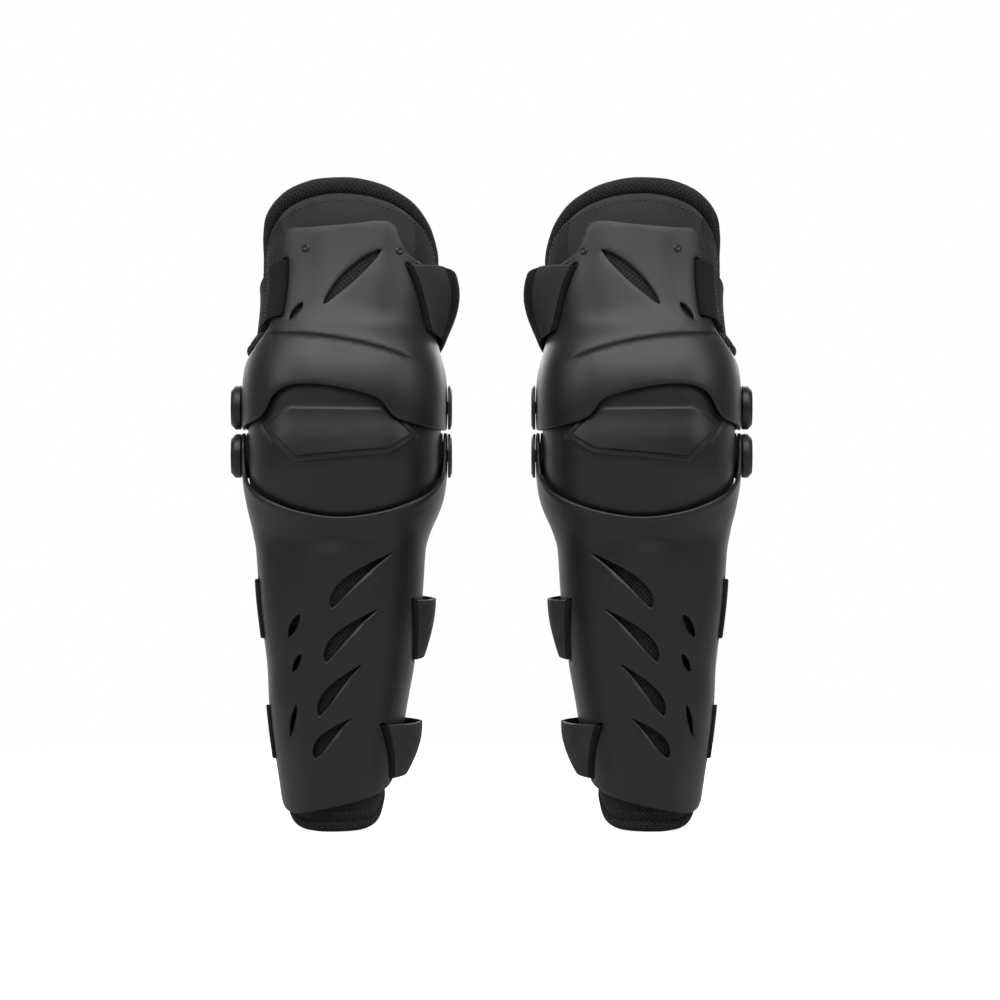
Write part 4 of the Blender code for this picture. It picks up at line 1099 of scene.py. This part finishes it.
def ink(code):
    """A colour from its sRGB code, in linear light."""
    parts = [int(code[i:i + 2], 16) / 255 for i in (1, 3, 5)]
    return (*[p / 12.92 if p <= 0.04045 else ((p + 0.055) / 1.055) ** 2.4 for p in parts], 1)


def node(tree, kind, inputs=None, **settings):
    """Adds a node with its settings; inputs are values, or the outputs that feed them."""
    made = tree.nodes.new("ShaderNode" + kind)
    for name, value in settings.items():
        setattr(made, name, value)
    for socket, value in (inputs or {}).items():
        if isinstance(value, bpy.types.NodeSocket):
            tree.links.new(value, made.inputs[socket])
        else:
            made.inputs[socket].default_value = value
    return made


def finish(name, **surface):
    """A material with one shader, and its tree."""
    made = bpy.data.materials.new(name)
    made.use_nodes = True
    tree = made.node_tree
    tree.nodes.clear()
    shader = node(tree, "BsdfPrincipled", {key.replace("_", " "): value for key, value in surface.items()})
    node(tree, "OutputMaterial", {"Surface": shader.outputs[0]})
    return made, tree, shader


def feed(tree, shader, **links):
    """Links outputs to a shader's sockets."""
    for key, output in links.items():
        tree.links.new(output, shader.inputs[key.replace("_", " ")])


def noise(tree, scale, detail):
    """Clouds all through a piece."""
    place = node(tree, "TexCoord").outputs["Object"]
    return node(tree, "TexNoise", {"Vector": place, "Scale": scale, "Detail": detail}).outputs[0]


def net(tree, pitch, randomness):
    """Distance from the middles of a diagonal net of cells on a cover, in shares of its pitch."""
    place = node(tree, "UVMap", uv_map="cover").outputs[0]
    diagonal = node(tree, "Mapping", {"Vector": place, "Rotation": (0, 0, math.pi / 4)}).outputs[0]
    cells = {"Vector": diagonal, "Scale": 1 / pitch, "Randomness": randomness}
    return node(tree, "TexVoronoi", cells, voronoi_dimensions="2D").outputs["Distance"]


def bands(tree, pitch, direction, distortion=0.0):
    """Waves on a cover at a pitch, along (X) or across (Y) it; a wave is 0.314 long at a scale of one."""
    place = node(tree, "UVMap", uv_map="cover").outputs[0]
    waves = {"Vector": place, "Scale": 0.314 / pitch, "Distortion": distortion}
    return node(tree, "TexWave", waves, bands_direction=direction).outputs["Fac"]


def ranged(tree, value, low, high, start=0.0, end=1.0):
    """A value that goes from start to end while another goes from low to high."""
    return node(tree, "MapRange", {"Value": value, "From Min": low, "From Max": high, "To Min": start,
                                   "To Max": end}).outputs[0]


def combined(tree, one, other, operation="MULTIPLY"):
    """The product of two values, or what else the operation makes of them."""
    return node(tree, "Math", {0: one, 1: other}, operation=operation).outputs[0]


def toned(tree, share, first, last):
    """A colour that goes from the first to the last one with a share."""
    ramp = node(tree, "ValToRGB", {"Fac": share})
    for stop, code in zip(ramp.color_ramp.elements, (first, last)):
        stop.color = ink(code)
    return ramp.outputs[0]


def bumped(tree, height, strength, depth):
    """A surface that rises with a height."""
    return node(tree, "Bump", {"Height": height, "Strength": strength, "Distance": depth}).outputs[0]


def moulded_polypropylene():
    # Injection-moulded polypropylene, from a spark-eroded mould: an even satin black with a fine grain
    made, tree, shader = finish("moulded_polypropylene", IOR=1.49)
    # The grain of the mould is about 0.3 mm; it is drawn at 0.9 mm, so that a picture can hold it
    grain = noise(tree, 1 / (0.9 * MM), 2.0)
    # Clouds of gloss are about 36 mm across
    cloud = noise(tree, 28.0, 4.0)
    feed(tree, shader, Base_Color=toned(tree, cloud, "#1d1d1e", "#242425"),
         Roughness=ranged(tree, cloud, 0.3, 0.7, 0.37, 0.46), Normal=bumped(tree, grain, 0.12, 0.4 * MM))
    return made


def knit_lining():
    # Polyester knit bonded to EVA foam: a soft matt black, punched every 7 mm on the side of the leg
    made, tree, shader = finish("knit_lining", Roughness=0.9, IOR=1.45, Sheen_Weight=0.12,
                                Sheen_Roughness=0.5)
    leg_side = node(tree, "Attribute", attribute_name="leg_side").outputs["Fac"]
    holes = combined(tree, ranged(tree, net(tree, 7 * MM, 0.0), 0.13, 0.19, 1.0, 0.0), leg_side)
    # The loops of the knit are 0.6 mm apart; they are drawn at 1.4 mm
    knit = bumped(tree, bands(tree, 1.4 * MM, "X", 2.0), 0.3, 0.4 * MM)
    punched = node(tree, "Bump", {"Height": holes, "Strength": 0.8, "Distance": 1 * MM, "Normal": knit},
                   invert=True)
    # The punched holes are coloured near black: painted shade inside them, where the knit is cut through
    feed(tree, shader, Base_Color=toned(tree, holes, "#272728", "#0a0a0a"), Normal=punched.outputs[0])
    return made


def spacer_mesh():
    # Warp-knitted polyester spacer mesh: a matt black net, with open cells between raised ribs of yarn
    made, tree, shader = finish("spacer_mesh", Roughness=0.9, IOR=1.4, Sheen_Weight=0.06, Sheen_Roughness=0.5)
    yarn = ranged(tree, net(tree, 2.7 * MM, 0.05), 0.22, 0.5)
    # The yarn keeps its own dark grey; the open cells are coloured darker, as painted shade inside them
    feed(tree, shader, Base_Color=toned(tree, yarn, "#0c0c0c", "#2a2a2a"),
         Normal=bumped(tree, yarn, 0.7, 0.9 * MM))
    return made


def elastic_webbing():
    # Woven polyester and rubber elastic: lengthwise ribs that are crossed by a fine weft, dull black
    made, tree, shader = finish("elastic_webbing", Roughness=0.9, IOR=1.4, Sheen_Weight=0.04)
    weave = combined(tree, bands(tree, 2 * MM, "Y"), bands(tree, 1.5 * MM, "X", 1.0))
    feed(tree, shader, Base_Color=toned(tree, weave, "#060606", "#121213"),
         Normal=bumped(tree, weave, 0.6, 0.6 * MM))
    return made


def moulded_rubber():
    # Compression-moulded rubber: a dull, slightly dusty black, in clouds about 11 mm across
    made, tree, shader = finish("moulded_rubber", IOR=1.52, Base_Color=ink("#2a2a2b"))
    feed(tree, shader, Roughness=ranged(tree, noise(tree, 90.0, 5.0), 0.3, 0.7, 0.55, 0.75))
    return made


def black_zinc_steel():
    # Turned steel with black zinc plating: a dark metal whose film is uneven every 2.5 mm
    made, tree, shader = finish("black_zinc_steel", Base_Color=ink("#4a4a4d"), Metallic=1.0)
    feed(tree, shader, Roughness=ranged(tree, noise(tree, 1 / (2.5 * MM), 3.0), 0.3, 0.7, 0.3, 0.42))
    return made


def bonded_thread():
    # Bonded polyester thread: round, with a slight gloss
    made, _, _ = finish("bonded_thread", Base_Color=ink("#2e2e2f"), Roughness=0.55, IOR=1.5)
    return made


def pressed_felt():
    # Pressed wool felt: a fuzzy, fully matt black
    made, tree, shader = finish("pressed_felt", Roughness=0.95, IOR=1.45, Base_Color=ink("#121212"))
    feed(tree, shader, Normal=bumped(tree, noise(tree, 1 / (1.2 * MM), 3.0), 0.4, 0.4 * MM))
    return made


# Guards

class Guard:
    """One guard: it places what is drawn for the right one and hands it to the bodies it rides on."""

    def __init__(self, name, mirror, finishes):
        self.name = name
        self.mirror = mirror
        self.finishes = finishes
        self.bodies = {"thigh": f"{name}_thigh", "knee": f"{name}_knee", "shin": "shins"}

    def placed(self, points, body):
        """Points of this guard, from those of the right one on the axes of a body."""
        x, y, z = points.T
        if body == "thigh":
            lean, up = math.sin(THIGH_LEAN), math.cos(THIGH_LEAN)
            y, z = y * up + z * lean, UPPER_PIVOT - y * lean + z * up
        return np.stack([self.mirror * (x - GUARD_SPACING / 2), y, z], -1)

    def add(self, name, mesh, body, material, slot_name, leg_side=None, wings=None, nodes=(), fill=None,
            sharp=SHARP_ANGLE):
        """A piece on a body, in place of the solids it is drawn over; its wings are faces of mesh fabric."""
        points, faces, *uv = mesh
        data = bpy.data.meshes.new(f"{self.name}_{name}")
        data.from_pydata(self.placed(points, body).tolist(), [], faces)
        if uv:
            layer = data.uv_layers.new(name="cover")
            corners = np.zeros(len(data.loops), np.int32)
            data.loops.foreach_get("vertex_index", corners)
            layer.data.foreach_set("uv", uv[0][corners].astype(np.float32).ravel())
        if leg_side is not None:
            share = data.attributes.new("leg_side", "FLOAT", "POINT")
            share.data.foreach_set("value", leg_side.astype(np.float32))
        shape = bmesh.new()
        shape.from_mesh(data)
        bmesh.ops.recalc_face_normals(shape, faces=shape.faces)
        shape.to_mesh(data)
        shape.free()
        data.shade_smooth()
        data.set_sharp_from_angle(angle=sharp * DEG)
        data.materials.append(self.finishes[material])
        if wings is not None:
            data.materials.append(self.finishes["mesh"])
            data.polygons.foreach_set("material_index", wings.astype(np.int32))
        made = bpy.data.objects.new(f"dressed_{self.name}_{name}", data)
        bpy.context.scene.collection.objects.link(made)
        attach(made, self.bodies[body])
        if nodes:
            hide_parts(*[f"{self.name}_{n}" for n in nodes])


def pad_end(sides, front, half):
    """The end of a pad beside the knee cup: shares of the way from its sides to its front, at turns."""
    sides, front = sides / MM, front / MM
    return unrolled([(turn, sides + (front - sides) * share) for turn, share in mirrored(half)])


def thigh_pad():
    """The thigh pad with its sewn channels, the path of its rolled edge, and its own edge under the roll."""
    path = arch(84, THIGH_PAD_FOOT, THIGH_PAD_SPRING, THIGH_PAD_RISE, 1.75)
    edge = inset(path, THIGH_ROLL_RADIUS - PAD_TUCK, roll_stretch(THIGH, path, THIGH_ROLL_RADIUS))
    front = clear_foot(thigh_depth(THIGH_PAD_FOOT), CUP_REACH)
    foot = pad_end(THIGH_PAD_FOOT, front, [(-60, 0.25), (-40, 0.6), (-20, 0.95), (0, 1)])
    block = pad_block(THIGH, np.vstack([edge, foot]), PAD_FACE_DEPTH, strap_room, True, THIGH_PAD_DIVE)
    channels = [unrolled(mirrored(half)) for half in ([(-52, 50), (-30, 78), (0, 88)],
                                                      [(-58, 92), (-30, 114), (0, 122)])]
    points, faces, lining = quilted(swollen("thigh_pad", block, THIGH), THIGH, channels)
    return (flared(points), faces, lining), path, edge


def flared(points):
    """Points of the thigh pad, whose outer foot stands off the leg beside the shell, below the strap."""
    places = THIGH.plan(points)
    free = step(-places[:, 0] / UNROLL, *PAD_FLARE_TURNS) * (1 - step(places[:, 1], *PAD_FLARE_HEIGHTS))
    return points - PAD_FLARE * free[:, None] * (1, 0, 0)


def knee_pad():
    """The pad of the knee cup with its sewn channels."""
    crown, base = cup_rim(0.88, 62)
    rim = softened(unrolled(mirrored(crown + base, closed=True)))
    block = pad_block(CUP, rim, CUP_WALL + PAD_GAP, np.zeros_like, False)
    channels = [unrolled(line) for line in ([(-46, 22), (-20, 34), (20, 34), (46, 22)],
                                            [(-46, -22), (-20, -34), (20, -34), (46, -22)],
                                            [(-54, 0), (54, 0)])]
    return quilted(swollen("knee_pad", block, CUP), CUP, channels)


def shin_pad():
    """The shin pad with its sewn channels, the path of its rolled edge, and its own edge under the roll."""
    path = arch(97, SHIN_PAD_HEAD, SHIN_PAD_SPRING, -SHIN_PAD_DROP, 2.6)
    edge = inset(path, PAD_TUCK - SHIN_ROLL_RADIUS, roll_stretch(SHIN, path, SHIN_ROLL_RADIUS))
    front = LOWER_PIVOT - clear_foot(shin_depth(SHIN_PAD_HEAD), CUP_REACH)
    head = pad_end(SHIN_PAD_HEAD, front, [(-65, 0.3), (-40, 0.7), (-20, 0.95), (0, 1)])
    block = pad_block(SHIN, np.vstack([edge, head]), PAD_FACE_DEPTH, strap_room, True, SHIN_PAD_DIVE)
    channels = [unrolled([(0, -112), (0, -286)])]
    for height in (-135, -175, -215, -255):
        channels.append(unrolled(mirrored([(-78, height - 10), (-40, height + 4), (0, height + 12)])))
    return quilted(swollen("shin_pad", block, SHIN), SHIN, channels), path, edge


def seam(mesh, skin, edge, setback):
    """A row of stitches on the face of a pad, beside its rolled edge."""
    tree = BVHTree.FromPolygons([Vector(p) for p in mesh[0]], mesh[1])
    line = spread(inset(edge, setback), SEAM_STEP, closed=False)[SEAM_BARE_END:-SEAM_BARE_END]
    guide = skin.point(line[:, 0] / UNROLL, line[:, 1], PAD_FACE_DEPTH, True)
    found = [tree.find_nearest(Vector(p)) for p in guide]
    path = np.array([hit[0][:] for hit in found])
    out = np.array([hit[1][:] for hit in found])
    return stitches(path, out, **SEAM_STITCHES)


def dress_guards(finishes):
    """Draws every piece once, and adds it to both guards."""
    straps = strap_bars()
    thigh_cover, thigh_path, thigh_edge = thigh_pad()
    knee_cover = knee_pad()
    shin_cover, shin_path, shin_edge = shin_pad()
    shells = [("thigh_shell", thigh_shell(straps), "thigh"), ("knee_cup", knee_cup(), "knee"),
              ("shin_shell", shin_shell(straps), "shin")]
    covers = [("thigh_pad", thigh_cover, THIGH, "thigh", WING_TURN), ("knee_pad", knee_cover, CUP, "knee", 0),
              ("shin_pad", shin_cover, SHIN, "shin", 0)]
    thigh_roll, *cover = rolled_edge(THIGH, turned_in(thigh_path), THIGH_ROLL_RADIUS, ROLL_TAPER)
    rolls = [("thigh_pad_roll", (flared(thigh_roll), *cover), "thigh"),
             ("shin_pad_roll", rolled_edge(SHIN, shin_path, SHIN_ROLL_RADIUS), "shin")]
    # A little longer and wider than the vents of the thigh shell
    vent_line = spine((-14.5, 50), (-3, 86), (22.5, 108.5))
    nick_line = spine((-33, 41), (-26, 54), (-20.5, 66))
    backings = [("thigh_vent_backing", vent_backing(vent_line, 5 * MM, 11 * MM), "thigh"),
                ("thigh_nick_backing", vent_backing(nick_line, 6 * MM, 6 * MM), "thigh")]
    seams = [("thigh_pad_seam", seam(thigh_cover, THIGH, thigh_edge, THIGH_SEAM_SETBACK), "thigh"),
             ("shin_pad_seam", seam(shin_cover, SHIN, shin_edge, SHIN_SEAM_SETBACK), "shin")]
    studs = [("thigh_outer_stud", stud(THIGH, -23, 105), "thigh"),
             ("thigh_inner_stud", stud(THIGH, 28, 104), "thigh")]
    for name, mirror in (("right", 1), ("left", -1)):
        guard = Guard(name, mirror, finishes)
        for piece, mesh, body in shells:
            guard.add(piece, mesh, body, "plastic", "moulded_plastic", nodes=[piece])
        for piece, (points, faces, leg_side), skin, body, wing_turn in covers:
            places = skin.plan(points)
            corners = np.array([f[:3] for f in faces])
            wings = np.abs(places[corners, 0]).max(1) > wing_turn * UNROLL
            wings &= leg_side[corners].max(1) < 0.5
            guard.add(piece, (points, faces, places), body, "lining", "foam_lining", leg_side, wings,
                      nodes=[piece], fill=PAD_FILL)
        for piece, mesh, body in rolls:
            guard.add(piece, mesh, body, "mesh", "mesh_fabric", nodes=[piece], fill=ROLL_FILL)
        for pieces, material, slot_name in ((backings, "mesh", "mesh_fabric"),
                                            (seams, "thread", "foam_lining"),
                                            (studs, "plastic", "moulded_plastic")):
            for piece, mesh, body in pieces:
                guard.add(piece, mesh, body, material, slot_name)
        for strap_name, strap in straps.items():
            dress_strap(guard, f"{strap_name}_strap", strap, "thigh" if strap_name == "thigh" else "shin")
        dress_hinges(guard)


def dress_strap(guard, name, strap, body):
    """A strap with its sleeve, the pull tab at its free end, and the stitches of both ends."""
    band, face = woven_band(strap, STRAP_THICKNESS, lambda side: strap_line(strap, side))
    guard.add(name, band, body, "webbing", "elastic_webbing", nodes=[name])
    # A smooth sleeve guards the stretch from the slot to the fold at the edge of the shell
    slot_row = STRAP_FINENESS * STRAP_SLOT_STOP
    edge_row = STRAP_FINENESS * (len(strap_line(strap, 0)) + STRAP_EDGE_STOP)
    wider = dict(strap, width=strap["width"] + SLEEVE_MARGIN)
    sleeve, _ = woven_band(wider, STRAP_THICKNESS + SLEEVE_MARGIN, lambda side: strap_line(wider, side),
                           part=slice(slot_row, edge_row - (edge_row - slot_row) // 5))
    guard.add(f"{name}_sleeve", sleeve, body, "rubber", "rubber_tab")
    turns = np.linspace(STRAP_END_START, STRAP_END_TURN, TAB_STOPS)

    def tab_line(side):
        free_end = strap_line(strap, side)[-1, 0]
        return np.array([(free_end + turn, STRAP_STACK) for turn in turns])

    raised = (STRAP_END_THICKNESS - STRAP_THICKNESS) / 2
    tab, tab_face = woven_band(strap, STRAP_END_THICKNESS, tab_line, raised, ribs=True)
    guard.add(f"{name}_end", tab, body, "rubber", "rubber_tab", nodes=[f"{name}_end"])
    # Two rows across the sewn end and one across the tab, a little short of the selvedges
    rows = [stitches(side[row][3:-3], face_out(side, row)[3:-3], **STRAP_STITCHES)
            for side, row in ((face, 3), (face, 8), (tab_face, 4))]
    guard.add(f"{name}_stitching", joined(rows), body, "thread", "elastic_webbing")


def face_out(face, row):
    """Which way the outer face of a strap looks along one of its rows."""
    along = face[row + 1] - face[row - 1]
    across = np.gradient(face[row], axis=0)
    return unit(np.cross(across, along))


def dress_hinges(guard):
    """Rivets, washers and dust rings on the cup, and caps on the ears of the shells."""
    for side, direction, height in (("outer", -1, OUTER_CAP_HEIGHT), ("inner", 1, INNER_CAP_HEIGHT)):
        for joint, pivot in (("thigh", UPPER_PIVOT), ("shin", LOWER_PIVOT)):
            for piece, (points, faces), body, material, slot_name in (
                    ("rivet", rivet(), "knee", "steel", "dark_metal"),
                    ("washer", washer(), "knee", "steel", "dark_metal"),
                    ("cap", cap(height), joint, "plastic", "moulded_plastic"),
                    ("dust_ring", dust_ring(), "knee", "felt", "foam_lining")):
                rise = 0 if body == "thigh" else pivot
                placed = points * (direction, 1, 1) + (0, 0, rise)
                name = f"{side}_{joint}_pivot_{piece}"
                # The dust rings have no solid of their own
                nodes = [] if piece == "dust_ring" else [name]
                guard.add(name, (placed, faces), body, material, slot_name, nodes=nodes,
                          sharp=TURNED_SHARP_ANGLE)


# Studio

def studio():
    """A pale floor in a white room, with soft light from above, from the sides, from behind and in front."""
    floor_height = cad_box[0][2] - FLOOR_GAP
    angles = np.arange(FLOOR_SIDES) * 2 * math.pi / FLOOR_SIDES
    rim = [(FLOOR_RADIUS * math.cos(a), FLOOR_RADIUS * math.sin(a), floor_height) for a in angles]
    data = bpy.data.meshes.new("studio_floor")
    data.from_pydata(rim, [], [range(FLOOR_SIDES)])
    floor = bpy.data.objects.new("studio_floor", data)
    bpy.context.scene.collection.objects.link(floor)
    # Paper that shows white to the camera, whiter away from the guards, and takes their shadow
    made, tree, shader = finish("studio_paper", Base_Color=ink("#b4b4b4"), Roughness=0.9,
                                Emission_Color=ink("#ffffff"))
    place = node(tree, "TexCoord").outputs["Object"]
    away = node(tree, "VectorMath", {0: place}, operation="LENGTH").outputs["Value"]
    seen = node(tree, "LightPath").outputs["Is Camera Ray"]
    feed(tree, shader, Emission_Strength=combined(tree, seen, ranged(tree, away, 0.35, 0.9, 0.77, 1.0)))
    data.materials.append(made)
    world = bpy.data.worlds.new("studio_room")
    world.use_nodes = True
    tree = world.node_tree
    tree.nodes.clear()
    dim = node(tree, "Background", {"Color": ink("#ffffff"), "Strength": 0.1})
    white = node(tree, "Background", {"Color": ink("#ffffff"), "Strength": 1.0})
    # The camera sees white all round; what is glossy or clear shows the white wall behind the guards
    path = node(tree, "LightPath")
    facing = node(tree, "SeparateXYZ", {0: node(tree, "TexCoord").outputs["Generated"]})
    behind = ranged(tree, facing.outputs["Y"], 0.6, 0.95)
    shiny = combined(tree, path.outputs["Is Glossy Ray"], path.outputs["Is Transmission Ray"], "MAXIMUM")
    wall_seen = combined(tree, shiny, behind)
    shown = combined(tree, path.outputs["Is Camera Ray"], wall_seen, "MAXIMUM")
    mixed = node(tree, "MixShader", {0: shown, 1: dim.outputs[0], 2: white.outputs[0]})
    node(tree, "OutputWorld", {"Surface": mixed.outputs[0]})
    bpy.context.scene.world = world
    softbox("above", place=(0, -1.1, 1.6), target=(0, -0.1, 0), size=(2.4, 1.4), power=37)
    softbox("left", place=(-1.3, -0.5, 1.1), target=(0, 0, 0), size=(0.8, 1.4), power=9)
    softbox("right", place=(1.3, -0.5, 1.1), target=(0, 0, 0), size=(0.8, 1.4), power=9)
    softbox("back", place=(0, 2.2, 1.0), target=(0, 0, 0), size=(2.4, 1.6), power=48)
    softbox("front", place=(-0.5, -2.6, 0.7), target=(0, 0, -0.05), size=(1.6, 1.6), power=1.2)


def softbox(side, place, target, size, power):
    """A soft rectangular light that looks at a target, with its power in watts."""
    name = f"softbox_{side}"
    data = bpy.data.lights.new(name, "AREA")
    data.shape = "RECTANGLE"
    data.size, data.size_y = size
    data.energy = power
    made = bpy.data.objects.new(name, data)
    made.location = place
    made.rotation_euler = (Vector(target) - Vector(place)).to_track_quat("-Z", "Y").to_euler()
    bpy.context.scene.collection.objects.link(made)


def camera():
    """A long lens that looks level at the middle of the guards, from a little to their right."""
    data = bpy.data.cameras.new("camera")
    data.lens = CAMERA_LENS
    data.clip_end = CAMERA_FAR
    made = bpy.data.objects.new("camera", data)
    made.location = CAMERA_PLACE
    made.rotation_euler = (math.pi / 2, 0, 0)
    bpy.context.scene.collection.objects.link(made)
    bpy.context.scene.camera = made


dress_guards({"plastic": moulded_polypropylene(), "lining": knit_lining(), "mesh": spacer_mesh(),
              "webbing": elastic_webbing(), "rubber": moulded_rubber(), "steel": black_zinc_steel(),
              "thread": bonded_thread(), "felt": pressed_felt()})
studio()
camera()
bpy.context.scene.view_settings.view_transform = "Standard"
